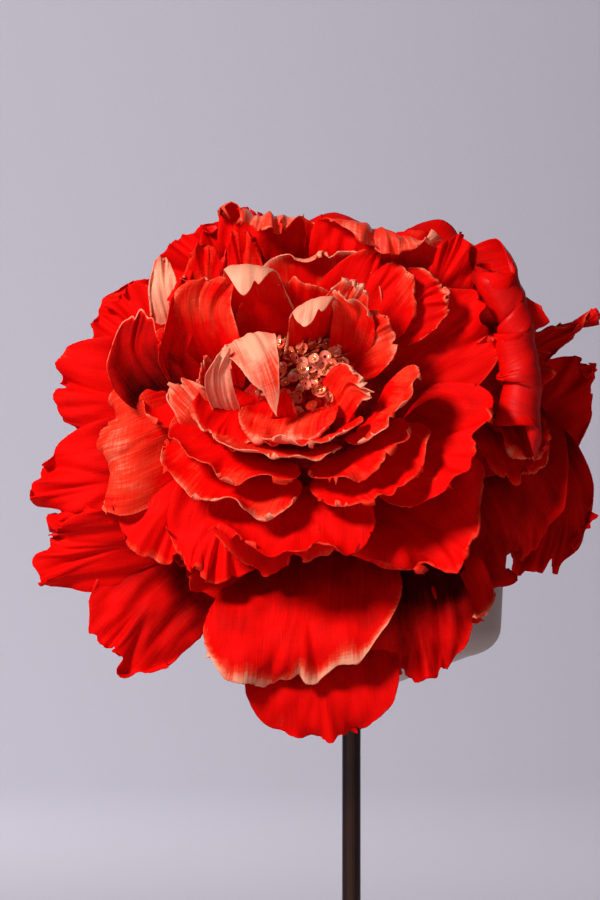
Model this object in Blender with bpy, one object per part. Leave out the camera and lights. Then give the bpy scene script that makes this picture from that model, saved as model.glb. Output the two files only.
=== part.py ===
"""A cloth peony in a pedestal vase: a big silk flower head on a wired stem, held by foam in a
round cup, on a thin bronze rod and a weighted round foot. Sizes are in metres, +Z is up, and
the origin is the middle of the felt pad's underside."""

from math import cos, pi, radians, sin, tau

import bpy
import numpy as np
from mathutils import Matrix, Vector

GAP = 0.0003            # between pieces that touch

# foot
FOOT_RADIUS = 0.090
FOOT_THICKNESS = 0.010
FOOT_BEVEL = 0.0020
PAD_THICKNESS = 0.0015
PAD_INSET = 0.005       # the felt stops short of the foot's edge

# rod, with the flange brazed to its top, and the two screws that hold it
ROD_RADIUS = 0.00475
ROD_LENGTH = 0.2976
FLANGE_RADIUS = 0.011
FLANGE_THICKNESS = 0.0030
SCREW_RADIUS = 0.0030
SCREW_CLEARANCE = 0.0004
SCREW_REACH = 0.016     # how far each screw goes into the rod
SCREW_HEAD_RADIUS = 0.0055
SCREW_HEAD_HEIGHT = 0.0032
SCREW_PLAY = 0.003      # the rod's bores are this much deeper than the screws reach

# cup
CUP_RADIUS = 0.078
CUP_HEIGHT = 0.062
CUP_WALL = 0.0030
CUP_FLOOR = 0.0040
CUP_FLAT_RADIUS = 0.024     # the flat middle of its underside
CUP_RISE = 0.0135           # how far the underside climbs before the corner
CUP_CORNER = 0.016          # how far the corner reaches, across and up
CUP_CORNER_PULL = 0.2       # how low the corner's curve is drawn
CUP_FLARE = 0.0015          # how much narrower the wall is at the corner than at the lip

# foam and stem
FOAM_TOP = 0.040            # above the cup's underside
FOAM_RELIEF_RADIUS = 0.0080
FOAM_RELIEF_HEIGHT = 0.0065
STEM_RADIUS = 0.0030
STEM_CLEARANCE = 0.0004
STEM_IN_FLOWER = 0.020
STEM_IN_FOAM = 0.022
STEM_PLACE = (-0.0065, 0.0130)     # where it goes into the foam, from the cup's axis
STEM_STRAIGHT = 0.006       # how far it runs straight behind the backing
STEM_BEND_HEIGHT = 0.008    # its bend ends this far above the foam
STEM_BEND_PULL = 0.45       # how round the bend is

# flower head: its own frame is centred on the back of the form, with z along its axis
HEAD_ABOVE_LIP = 0.047
HEAD_SIDE = -0.012
HEAD_FORWARD = 0.025
HEAD_TILT = 60.0            # degrees that the axis leans from upright towards the front
HEAD_TURN = -9.0            # degrees that it then turns to the left
FORM_RADIUS = 0.048
FORM_HEIGHT = 0.094
FORM_SQUARENESS = 0.8
FORM_TOP_ANGLE = 20.0       # the flat top that carries the sequins starts here
BACKING_THICKNESS = 0.0016
FORM_BORE_PLAY = 0.001
SEQUIN_HEIGHT = 0.0105
SEQUIN_INSET = 0.0015       # the sequins stop short of the flat top's edge

# petals: each ring has a shell that runs from the form to a rim, and its petals are cut from it.
# q numbers the shells: 0 at the heart's bowl, 1 at the skirt.
PETAL_THICKNESS = 0.0010
ROOT_GAP = 0.0028
ROOT_ANGLES = (33.0, 82.0)      # places round the form where shells 0 and 1 start
SHELL_Q = (-0.15, 0, 1 / 6, 1 / 3, 1 / 2, 2 / 3, 5 / 6, 1)
RIM_RADIUS = (0.030, 0.050, 0.064, 0.080, 0.098, 0.116, 0.134, 0.150)
RIM_HEIGHT = (0.117, 0.123, 0.117, 0.104, 0.084, 0.060, 0.032, -0.004)
RIM_SLOPE = (102, 82, 66, 46, 24, 0, -24, -50)
ROOT_SLOPE = (86, 84, 80, 76, 72, 66, 58, 50)
HANDLE = 0.42                   # how far the shell's curve keeps its root and rim slopes
RUFFLE = 0.016                  # of q, at a petal's tip
WARP = 0.0035                   # slow waves that move whole neighbourhoods together
WARP_LENGTH = 0.130
ROWS, COLUMNS = 6, 5

# a petal's outline: a runs from 0 at its root to 1 at its tip, and b from -1 to 1 across it
NECK = 0.30                     # how wide its root is, as a share of its full width
FULL_WIDTH_AT = 0.72            # where along it the full width is reached
TIP_NARROWING = 0.9
TIP_ROUNDING = (0.10, 0.16)     # how far its corners stand back, by b squared and b to the fourth
SCALLOP = 0.018
WANDER = 2.0                    # degrees that its middle line wanders to the sides

# a row for each ring: name, q, then each petal's direction, half angle and share of the shell
RINGS = (
    ("heart_petal", -0.12, ((164, 34, 1.10), (330, 40, 0.80), (85, 42, 0.98))),
    ("heart_petal", -0.02, ((190, 29, 1.00), (262, 40, 0.92), (338, 33, 0.98), (47, 33, 1.00),
                            (120, 36, 1.02))),
    ("bowl_petal", 0.07, ((160, 33, 1.05), (221, 26, 0.98), (284, 34, 0.95), (0, 38, 1.00),
                          (82, 41, 1.03))),
    ("bowl_petal", 0.16, ((262, 37, 0.98), (332, 30, 0.99))),
    ("inner_petal", 0.27, ((158, 30, 1.12), (236, 39, 1.00), (307, 29, 0.99), (18, 38, 1.02),
                           (92, 32, 1.05))),
    ("inner_petal", 0.38, ((176, 26, 1.05), (240, 35, 1.02), (310, 32, 0.99), (25, 37, 1.00),
                           (107, 40, 1.03))),
    ("middle_petal", 0.50, ((200, 34, 1.04), (270, 34, 1.00), (338, 31, 1.00), (44, 32, 1.08),
                            (121, 41, 1.02))),
    ("middle_petal", 0.63, ((168, 29, 1.02), (232, 32, 1.00), (292, 26, 0.98), (10, 36, 1.02))),
    ("outer_petal", 0.76, ((205, 26, 1.00), (258, 25, 0.98), (316, 30, 0.93), (75, 45, 1.00))),
    ("outer_petal", 0.88, ((172, 27, 1.00), (226, 24, 1.00), (273, 20, 1.00), (338, 28, 0.90),
                           (34, 25, 0.97))),
    ("skirt_petal", 1.00, ((212, 25, 1.02), (262, 21, 1.02), (300, 15, 0.94), (22, 17, 0.98),
                           (78, 33, 1.00), (140, 26, 1.00))),
)

# levels that follow from the sizes above
PLATE_BOTTOM = PAD_THICKNESS + GAP
PLATE_TOP = PLATE_BOTTOM + FOOT_THICKNESS
ROD_BOTTOM = PLATE_TOP + GAP
ROD_TOP = ROD_BOTTOM + ROD_LENGTH
CUP_BOTTOM = ROD_TOP + GAP
LIP = CUP_BOTTOM + CUP_HEIGHT
BORE_RADIUS = SCREW_RADIUS + SCREW_CLEARANCE
BORE_DEPTH = SCREW_REACH + SCREW_PLAY
SHANK = {
    "foot_screw": FOOT_THICKNESS - SCREW_HEAD_HEIGHT + SCREW_REACH,
    "cup_screw": CUP_FLOOR + SCREW_REACH,
}
RIM_SEGMENTS = 40


def material(name, colour, roughness, metallic=0.0):
    mat = bpy.data.materials.new(name)
    mat.use_nodes = True
    shader = mat.node_tree.nodes["Principled BSDF"]
    shader.inputs["Base Color"].default_value = (*colour, 1.0)
    shader.inputs["Roughness"].default_value = roughness
    shader.inputs["Metallic"].default_value = metallic
    mat.diffuse_color = (*colour, 1.0)
    return mat


def add(name, points, faces, mat):
    mesh = bpy.data.meshes.new(name)
    mesh.from_pydata([tuple(p) for p in points], [], faces)
    mesh.materials.append(mat)
    mesh.shade_smooth()
    mesh.set_sharp_from_angle(angle=radians(40))
    obj = bpy.data.objects.new(name, mesh)
    bpy.context.scene.collection.objects.link(obj)
    return obj


def turned(name, outline, mat, segments=RIM_SEGMENTS):
    """A closed solid turned about Z. The outline of (radius, height) runs from its lowest
    inner point out, up, and back in; a point at radius 0 closes it with a fan."""
    points, rows = [], []
    for radius, height in outline:
        if radius < 1e-9:
            rows.append([len(points)] * segments)
            points.append((0, 0, height))
        else:
            rows.append(list(range(len(points), len(points) + segments)))
            points += [(radius * cos(tau * k / segments), radius * sin(tau * k / segments), height)
                       for k in range(segments)]
    bored = outline[0][0] > 1e-9
    pairs = list(zip(rows, rows[1:] + rows[:1])) if bored else list(zip(rows, rows[1:]))
    faces = []
    for low, high in pairs:
        for k in range(segments):
            n = (k + 1) % segments
            face = []
            for index in (low[k], low[n], high[n], high[k]):
                if index not in face:
                    face.append(index)
            faces.append(face)
    return add(name, points, faces, mat)


def foot(mats):
    pad_radius = FOOT_RADIUS - PAD_INSET
    turned("felt_pad", [(0, 0), (pad_radius, 0), (pad_radius, PAD_THICKNESS),
                        (0, PAD_THICKNESS)], mats["felt"])
    sink = PLATE_BOTTOM + SCREW_HEAD_HEIGHT + 2 * GAP
    head_hole = SCREW_HEAD_RADIUS + SCREW_CLEARANCE
    outline = [(head_hole, PLATE_BOTTOM), (FOOT_RADIUS, PLATE_BOTTOM),
               (FOOT_RADIUS, PLATE_TOP - FOOT_BEVEL)]
    outline += [(FOOT_RADIUS - FOOT_BEVEL * (1 - cos(a)), PLATE_TOP - FOOT_BEVEL * (1 - sin(a)))
                for a in (pi / 6, pi / 3, pi / 2)]
    outline += [(BORE_RADIUS, PLATE_TOP), (BORE_RADIUS, sink), (head_hole, sink)]
    turned("foot", outline, mats["bronze"])
    screw("foot_screw", sink - GAP, 1, mats["steel"])


def screw(name, seat, up, mat):
    """A pan-head screw whose head bears at seat and whose shank points up (1) or down (-1)."""
    head = SCREW_HEAD_RADIUS
    tip = SHANK[name]
    outline = [(0, -SCREW_HEAD_HEIGHT), (head * 0.8, -SCREW_HEAD_HEIGHT),
               (head, -SCREW_HEAD_HEIGHT * 0.6), (head, 0), (SCREW_RADIUS, 0),
               (SCREW_RADIUS, tip - SCREW_RADIUS / 2), (SCREW_RADIUS / 2, tip), (0, tip)]
    if up < 0:
        outline = [(r, -z) for r, z in reversed(outline)]
    turned(name, [(r, seat + z) for r, z in outline], mat, 20)


def rod(mats):
    neck = ROD_TOP - FLANGE_THICKNESS
    outline = [(BORE_RADIUS, ROD_BOTTOM), (ROD_RADIUS, ROD_BOTTOM), (ROD_RADIUS, neck),
               (FLANGE_RADIUS, neck), (FLANGE_RADIUS, ROD_TOP), (BORE_RADIUS, ROD_TOP),
               (BORE_RADIUS, ROD_TOP - BORE_DEPTH), (0, ROD_TOP - BORE_DEPTH)]
    # the lower bore is the same line run the other way, so that one outline closes the solid
    lower = [(0, ROD_BOTTOM + BORE_DEPTH), (BORE_RADIUS, ROD_BOTTOM + BORE_DEPTH)]
    turned("rod", lower + outline, mats["bronze"], 24)


def cup_line(inset):
    """The cup's outer side, from the flat middle of its underside to the lip, moved in by
    inset: a shallow cone, a round corner and a nearly upright wall."""
    wall = CUP_RADIUS - inset
    low = wall - CUP_FLARE
    corner = CUP_CORNER - inset
    start = (low - corner, CUP_BOTTOM + CUP_RISE * (low - corner - CUP_FLAT_RADIUS)
             / (CUP_RADIUS - CUP_FLARE - CUP_CORNER - CUP_FLAT_RADIUS) + inset)
    end = (low, start[1] + corner)
    turn = (low, start[1] + CUP_CORNER_PULL * corner)
    line = [(CUP_FLAT_RADIUS, CUP_BOTTOM + inset), start]
    for k in range(1, 6):
        t = k / 6
        line.append(tuple((1 - t) ** 2 * a + 2 * t * (1 - t) * b + t * t * c
                          for a, b, c in zip(start, turn, end)))
    return line + [end]


def cup(mats):
    floor = CUP_BOTTOM + CUP_FLOOR
    outer = [(BORE_RADIUS, CUP_BOTTOM)] + cup_line(0)
    lip = LIP - CUP_WALL / 2
    centre = CUP_RADIUS - CUP_WALL / 2
    outer += [(centre + CUP_WALL / 2 * cos(a), lip + CUP_WALL / 2 * sin(a))
              for a in (pi * k / 6 for k in range(7))]
    inner = [(r, z + CUP_FLOOR - CUP_WALL) for r, z in reversed(cup_line(CUP_WALL))]
    inner[-1] = (CUP_FLAT_RADIUS, floor)
    turned("cup", outer + inner + [(BORE_RADIUS, floor)], mats["cup"])
    screw("cup_screw", floor + GAP, -1, mats["steel"])


def foam(mats):
    """The block that fills the cup up to FOAM_TOP, hollowed over the screw, with the stem's hole."""
    floor = CUP_BOTTOM + CUP_FLOOR + GAP
    top = CUP_BOTTOM + FOAM_TOP
    line = [(r, z + CUP_FLOOR - CUP_WALL) for r, z in cup_line(CUP_WALL + GAP)]
    side = line[-1][0]
    outline = [(0, floor + FOAM_RELIEF_HEIGHT), (FOAM_RELIEF_RADIUS, floor + FOAM_RELIEF_HEIGHT),
               (FOAM_RELIEF_RADIUS, floor)] + line[:-1] + [(side, line[-1][1]), (side, top), (0, top)]
    block = turned("foam", outline, mats["foam"])
    bpy.ops.mesh.primitive_cylinder_add(
        vertices=16, radius=STEM_RADIUS + STEM_CLEARANCE, depth=2 * (STEM_IN_FOAM + GAP),
        location=(*STEM_PLACE, top))
    cutter = bpy.context.object
    cutter.name = "foam_cutter"
    cutter.hide_render = True
    cutter.display_type = "WIRE"
    bored = block.modifiers.new("stem hole", "BOOLEAN")
    bored.operation = "DIFFERENCE"
    bored.object = cutter


def head_frame():
    place = Vector((HEAD_SIDE, -HEAD_FORWARD, LIP + HEAD_ABOVE_LIP))
    turn = Matrix.Rotation(radians(HEAD_TURN), 4, "Z") @ Matrix.Rotation(radians(HEAD_TILT), 4, "X")
    return Matrix.Translation(place) @ turn


def stem(mats, frame):
    """A wrapped wire: out of the form's back along the flower's axis, then bent down."""
    axis = (frame.to_3x3() @ Vector((0, 0, 1))).normalized()
    start = frame @ Vector((0, 0, STEM_IN_FLOWER))
    leave = frame @ Vector((0, 0, -BACKING_THICKNESS - STEM_STRAIGHT))
    foot_of_bend = Vector((*STEM_PLACE, CUP_BOTTOM + FOAM_TOP + STEM_BEND_HEIGHT))
    low = Vector((*STEM_PLACE, CUP_BOTTOM + FOAM_TOP - STEM_IN_FOAM))
    reach = (leave - foot_of_bend).length * STEM_BEND_PULL
    handles = leave - axis * reach, foot_of_bend + Vector((0, 0, reach))
    route = [start, start.lerp(leave, 0.5)]
    for k in range(9):
        t = k / 8
        route.append(leave * (1 - t) ** 3 + handles[0] * 3 * t * (1 - t) ** 2
                     + handles[1] * 3 * t * t * (1 - t) + foot_of_bend * t ** 3)
    route += [foot_of_bend.lerp(low, 0.5), low]
    curve = bpy.data.curves.new("stem", "CURVE")
    curve.dimensions = "3D"
    curve.bevel_depth = STEM_RADIUS
    curve.bevel_resolution = 2
    curve.use_fill_caps = True
    spline = curve.splines.new("POLY")
    spline.points.add(len(route) - 1)
    for point, place in zip(spline.points, route):
        point.co = (*place, 1)
    curve.materials.append(mats["wrap"])
    obj = bpy.data.objects.new("stem", curve)
    bpy.context.scene.collection.objects.link(obj)


def form_point(angle, clear=0.0):
    """Radius and height of the form's side at an angle in degrees from its axis."""
    a = radians(angle)
    return np.array([(FORM_RADIUS + clear) * sin(a) ** FORM_SQUARENESS,
                     (FORM_HEIGHT + clear) * cos(a) ** FORM_SQUARENESS])


def form(mats, frame):
    top = form_point(FORM_TOP_ANGLE)
    hole = STEM_RADIUS + STEM_CLEARANCE
    depth = STEM_IN_FLOWER + FORM_BORE_PLAY
    outline = [(0, depth), (hole, depth), (hole, 0), (FORM_RADIUS, 0)]
    outline += [tuple(form_point(a)) for a in (84, 76, 68, 60, 52, 44, 36, 28)]
    outline += [tuple(top), (0, top[1])]
    turned("flower_form", outline, mats["red"], 30).matrix_world = frame
    turned("backing", [(hole, -GAP - BACKING_THICKNESS), (FORM_RADIUS, -GAP - BACKING_THICKNESS),
                       (FORM_RADIUS, -GAP), (hole, -GAP)], mats["red"], 30).matrix_world = frame
    low, radius = top[1] + GAP, top[0] - SEQUIN_INSET
    dome = [(radius * cos(a), low + SEQUIN_HEIGHT * sin(a)) for a in (0.0, 0.35, 0.7, 1.05, 1.3)]
    turned("sequin_heart", [(0, low)] + dome + [(0, low + SEQUIN_HEIGHT)], mats["sequin"],
           24).matrix_world = frame


def shell(q, s):
    """A point (radius, height) on shell q, at share s of the way from its root to its rim."""
    def read(values):
        return float(np.interp(q, SHELL_Q, values))
    root = form_point(ROOT_ANGLES[0] + (ROOT_ANGLES[1] - ROOT_ANGLES[0]) * q, ROOT_GAP)
    rim = np.array([read(RIM_RADIUS), read(RIM_HEIGHT)])
    reach = HANDLE * np.linalg.norm(rim - root)
    out, end = radians(read(ROOT_SLOPE)), radians(read(RIM_SLOPE))
    first = root + reach * np.array([cos(out), sin(out)])
    last = rim - reach * np.array([cos(end), sin(end)])
    return ((1 - s) ** 3 * root + 3 * (1 - s) ** 2 * s * first
            + 3 * (1 - s) * s * s * last + s ** 3 * rim)


def warp(p):
    """Slow waves through the whole head, so that it isn't turned-looking. They move close
    layers alike, which keeps them apart, and they fade out towards the form."""
    k = tau / WARP_LENGTH
    x, y, z = p
    fade = min(1.0, max(0.0, (np.hypot(x, y) / FORM_RADIUS - 0.6)))
    return p + fade * WARP * np.array([sin(k * y + 0.4) + 0.4 * sin(k * z + 2.0),
                                       sin(k * z + 1.3) + 0.4 * sin(k * x + 0.7),
                                       sin(k * x + 2.6) + 0.6 * sin(k * y + 4.1)])


def petal_point(q, direction, half, share, seed, a, b):
    """A point of a petal's middle surface: a runs from root to tip and b from -1 to 1 across."""
    if a < FULL_WIDTH_AT:
        width = NECK + (1 - NECK) * sin(a / FULL_WIDTH_AT * pi / 2)
    else:
        width = 1 - TIP_NARROWING * (a - FULL_WIDTH_AT) ** 1.6
    rounded = 1 - TIP_ROUNDING[0] * b * b - TIP_ROUNDING[1] * b ** 4
    scallop = 1 + SCALLOP * sin(5.1 * b + seed) * a
    s = a * share * rounded * scallop
    wave = RUFFLE * a ** 1.6 * sin(4.2 * b + 2.3 * seed) * (0.4 + 0.6 * b * b)
    radius, height = shell(q + wave, s)
    phi = radians(direction + half * b * width + WANDER * sin(3 * a + seed) * (1 - b * b))
    return warp(np.array([radius * cos(phi), radius * sin(phi), height]))


def petal(name, row, mat, frame):
    """A thin closed sheet: the middle surface's points moved half a thickness each way."""
    grid = np.array([[petal_point(*row, i / ROWS, 2 * j / COLUMNS - 1)
                      for j in range(COLUMNS + 1)] for i in range(ROWS + 1)])
    normal = np.cross(np.gradient(grid, axis=0), np.gradient(grid, axis=1))
    normal /= np.linalg.norm(normal, axis=2, keepdims=True)
    across = COLUMNS + 1
    sides = [grid + normal * PETAL_THICKNESS / 2, grid - normal * PETAL_THICKNESS / 2]
    points = np.concatenate([side.reshape(-1, 3) for side in sides])
    far = len(points) // 2
    faces = []
    for i in range(ROWS):
        for j in range(COLUMNS):
            a, b, c, d = (i * across + j, (i + 1) * across + j,
                          (i + 1) * across + j + 1, i * across + j + 1)
            faces += [(a, b, c), (a, c, d), (far + c, far + b, far + a), (far + d, far + c, far + a)]
    edge = ([j for j in range(across)] + [i * across + across - 1 for i in range(1, ROWS + 1)]
            + [ROWS * across + j for j in range(across - 2, -1, -1)]
            + [i * across for i in range(ROWS - 1, 0, -1)])
    faces += [(a, b, far + b, far + a) for a, b in zip(edge, edge[1:] + edge[:1])]
    faces = [tuple(reversed(f)) for f in faces] if signed_volume(points, faces) < 0 else faces
    add(name, points, faces, mat).matrix_world = frame


def signed_volume(points, faces):
    total = 0.0
    for face in faces:
        for k in range(1, len(face) - 1):
            total += np.dot(points[face[0]], np.cross(points[face[k]], points[face[k + 1]]))
    return total


def petals(mats, frame):
    count = {}
    for ring, (name, q, members) in enumerate(RINGS):
        for k, (direction, half, share) in enumerate(members):
            count[name] = count.get(name, 0) + 1
            seed = 1.7 * ring + 2.9 * k
            petal(f"{name}_{count[name]:02d}", (q, direction, half, share, seed), mats["red"], frame)


def main():
    for obj in list(bpy.data.objects):
        bpy.data.objects.remove(obj, do_unlink=True)
    mats = {
        "red": material("red silk", (0.52, 0.006, 0.004), 0.75),
        "sequin": material("pink sequins and gold beads", (0.75, 0.25, 0.15), 0.25),
        "cup": material("frosted greige acrylic", (0.34, 0.26, 0.23), 0.45),
        "bronze": material("dark bronzed steel", (0.035, 0.020, 0.014), 0.32, 1.0),
        "steel": material("zinc steel", (0.55, 0.55, 0.56), 0.35, 1.0),
        "felt": material("black felt", (0.02, 0.02, 0.02), 0.95),
        "foam": material("green foam", (0.10, 0.22, 0.10), 0.95),
        "wrap": material("green stem wrap", (0.06, 0.16, 0.05), 0.8),
    }
    frame = head_frame()
    foot(mats)
    rod(mats)
    cup(mats)
    foam(mats)
    stem(mats, frame)
    form(mats, frame)
    petals(mats, frame)


main()
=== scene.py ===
"""The looks of a silk peony in a pedestal vase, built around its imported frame. Run as a script:
it registers itself as an add-on would be, and then calls its own operators in order."""

import math

import bpy
import numpy as np
from bpy.props import FloatProperty, FloatVectorProperty, IntProperty, PointerProperty
from mathutils import Matrix, Vector, noise


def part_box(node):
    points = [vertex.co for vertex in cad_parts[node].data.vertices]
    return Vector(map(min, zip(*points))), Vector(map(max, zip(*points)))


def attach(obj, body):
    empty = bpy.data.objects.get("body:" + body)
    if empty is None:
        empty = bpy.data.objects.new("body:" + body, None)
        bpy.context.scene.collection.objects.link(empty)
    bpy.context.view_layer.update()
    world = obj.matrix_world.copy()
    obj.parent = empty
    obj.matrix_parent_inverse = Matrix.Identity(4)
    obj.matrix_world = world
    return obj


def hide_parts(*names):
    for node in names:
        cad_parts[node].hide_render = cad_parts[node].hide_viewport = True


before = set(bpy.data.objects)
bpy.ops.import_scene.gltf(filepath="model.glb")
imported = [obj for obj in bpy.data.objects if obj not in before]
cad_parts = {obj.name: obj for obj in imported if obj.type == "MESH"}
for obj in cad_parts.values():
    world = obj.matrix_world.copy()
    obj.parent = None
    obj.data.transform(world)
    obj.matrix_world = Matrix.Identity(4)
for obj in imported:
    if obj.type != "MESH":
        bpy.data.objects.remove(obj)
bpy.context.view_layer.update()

bl_info = {
    "name": "Silk Peony in a Pedestal Vase",
    "version": (1, 0, 0),
    "blender": (4, 5, 0),
    "location": "3D View > Sidebar > Peony",
    "description": "Builds a cloth peony with a sequin heart, its cup, rod, foot and studio",
    "category": "Object",
}

MM = 0.001
ROOT = "root"
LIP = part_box("cup")[1][2]
CUP_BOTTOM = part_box("cup")[0][2]

# hard pieces: the screws' bore through cup and rod, the cup's floor, the flat middle of its
# underside, how far the underside climbs before the corner, how far the corner reaches, how low
# the corner's curve is drawn, and how much narrower the wall is there than at the lip
SCREW_BORE = 3.4 * MM
CUP_FLOOR, CUP_FLAT_RADIUS, CUP_RISE = 4 * MM, 24 * MM, 13.5 * MM
CUP_CORNER, CUP_CORNER_PULL, CUP_FLARE = 16 * MM, 0.2, 1.5 * MM
ROD_RADIUS, FLANGE_THICKNESS, ROD_BORE_DEPTH = 4.75 * MM, 3 * MM, 19 * MM
SCREW_HEAD_RADIUS, SCREW_HEAD_SINK = 5.9 * MM, 3.8 * MM
STEM_PLACE = Vector((-6.5 * MM, 13 * MM, 0))

# the flower head's own frame: its middle is at the form's back, its z along the flower's axis
HEAD_PLACE = Vector((-12 * MM, -25 * MM, LIP + 47 * MM))
HEAD_TILT, HEAD_TURN = math.radians(60), math.radians(-9)
HEAD = (Matrix.Translation(HEAD_PLACE) @ Matrix.Rotation(HEAD_TURN, 4, "Z")
        @ Matrix.Rotation(HEAD_TILT, 4, "X"))

# the shells that the petals are cut from, as the frame has them: q is 0 at the bowl, 1 at the skirt
FORM_RADIUS, FORM_HEIGHT, FORM_SQUARENESS = 48 * MM, 94 * MM, 0.8
FORM_TOP_ANGLE = 20.0
ROOT_GAP = 2.8 * MM
ROOT_ANGLES = (33.0, 82.0)
SHELL_Q = np.array((-0.15, 0, 1 / 6, 1 / 3, 1 / 2, 2 / 3, 5 / 6, 1))
RIM_RADIUS = np.array((30, 50, 64, 80, 98, 116, 134, 150)) * MM
RIM_HEIGHT = np.array((117, 123, 117, 104, 84, 60, 32, -4)) * MM
RIM_SLOPE = np.array((102, 82, 66, 46, 24, 0, -24, -50.0))
ROOT_SLOPE = np.array((86, 84, 80, 76, 72, 66, 58, 50.0))
HANDLE = 0.42
WARP, WARP_LENGTH = 3.5 * MM, 130 * MM

# a row for each ring of petals: kind, shell, then each one's direction, half angle and share
RINGS = (
    ("heart_petal", -0.12, ((164, 34, 1.10), (330, 40, 0.80), (85, 42, 0.98))),
    ("heart_petal", -0.02, ((190, 29, 1.00), (262, 40, 0.92), (338, 33, 0.98), (47, 33, 1.00),
                            (120, 36, 1.02))),
    ("bowl_petal", 0.07, ((160, 33, 1.05), (221, 26, 0.98), (284, 34, 0.95), (0, 38, 1.00),
                          (82, 41, 1.03))),
    ("bowl_petal", 0.16, ((262, 37, 0.98), (332, 30, 0.99))),
    ("inner_petal", 0.27, ((158, 30, 1.12), (236, 39, 1.00), (307, 29, 0.99), (18, 38, 1.02),
                           (92, 32, 1.05))),
    ("inner_petal", 0.38, ((176, 26, 1.05), (240, 35, 1.02), (310, 32, 0.99), (25, 37, 1.00),
                           (107, 40, 1.03))),
    ("middle_petal", 0.50, ((200, 34, 1.04), (270, 34, 1.00), (338, 31, 1.00), (44, 32, 1.08),
                            (121, 41, 1.02))),
    ("middle_petal", 0.63, ((168, 29, 1.02), (232, 32, 1.00), (292, 26, 0.98), (10, 36, 1.02))),
    ("outer_petal", 0.76, ((205, 26, 1.00), (258, 25, 0.98), (316, 30, 0.93), (75, 45, 1.00))),
    ("outer_petal", 0.88, ((172, 27, 1.00), (226, 24, 1.00), (273, 20, 1.00), (338, 28, 0.90),
                           (34, 25, 0.97))),
    ("skirt_petal", 1.00, ((212, 25, 1.02), (262, 21, 1.02), (300, 15, 0.94), (22, 17, 0.98),
                           (78, 33, 1.00), (140, 26, 1.00))),
)

# how a petal is shaped unless its kind or its own row says otherwise:
#   ruffle, pleat, crumple, flute - how deep its rim's waves, its long folds, its dents and its
#       fine ribs are, in mm, and waves is how many waves its rim has
#   deckle, fray - how far bites and loose threads set its edge back, in mm; teeth is how many
#       notches the edge has, and notch how deep they are, as a share of the length
#   cup - how far each side turns in, in degrees, and arch how far the sides stand back, in mm
#   curls - rolls of the tip, each (where across, how wide, where along it starts, degrees), and
#       loose is the most that its chance curls turn where it has none of its own
#   round, point, neck - its outline: how round and how pointed its tip is, and how wide its root
#       is, as shares
#   pale, rim, back, base - the colour of its face, rim, back and root (added to the face's), from
#       -1, deep red, by 0, red, to 1, peach; rim_wide is how wide the rim is, in mm. Part of this
#       is painted light: the root's tone, mostly below 0, is painted shade, and so are the deep
#       reds of petals that lie in shade, while the salmon and peach of lit faces, rims and backs
#       are painted highlight on top of the silk's own paler edges and satin back
#   spine, across, yaw, wide - for a petal that was shaped one by one, see below
PLAIN = dict(ruffle=3.0, waves=5, pleat=0.8, crumple=0.6, flute=0.38, deckle=1.8, fray=0.14,
             teeth=6.3, notch=0.022, cup=0, arch=0, curls=(), loose=70, round=(0.10, 0.16),
             point=0.0, neck=0.35, pale=0.0, rim=0.25, back=0.5, base=-0.45, rim_wide=9,
             spine=None, across=0, yaw=0, wide=40)
# each kind's tones: the paler faces and rims of the heart and bowl petals are partly paler silk and
# partly painted highlight where they are lit; the backs grow redder outwards, from the satin's own
# pale to painted shade on the outer backs
KINDS = {
    "heart_petal": dict(ruffle=1.6, waves=4, pleat=0.4, crumple=0.5, pale=0.4, rim=0.8, back=0.85,
                        notch=0.008, loose=15, deckle=0.8),
    "bowl_petal": dict(ruffle=1.5, pleat=0.4, crumple=0.5, pale=0.38, rim=0.7, back=0.8,
                       notch=0.014, loose=30, deckle=1.0),
    "inner_petal": dict(ruffle=2.2, pleat=0.5, rim=0.45, back=0.6, notch=0.02, pale=0.14),
    "middle_petal": dict(ruffle=3.0, pleat=0.8, crumple=0.7, rim=0.22, back=0.35),
    "outer_petal": dict(ruffle=4.2, waves=6, pleat=1.0, crumple=0.8, rim=0.15, back=0.1),
    "skirt_petal": dict(ruffle=4.5, pleat=1.2, crumple=0.9, rim=0.1, back=0.0),
}
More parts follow.
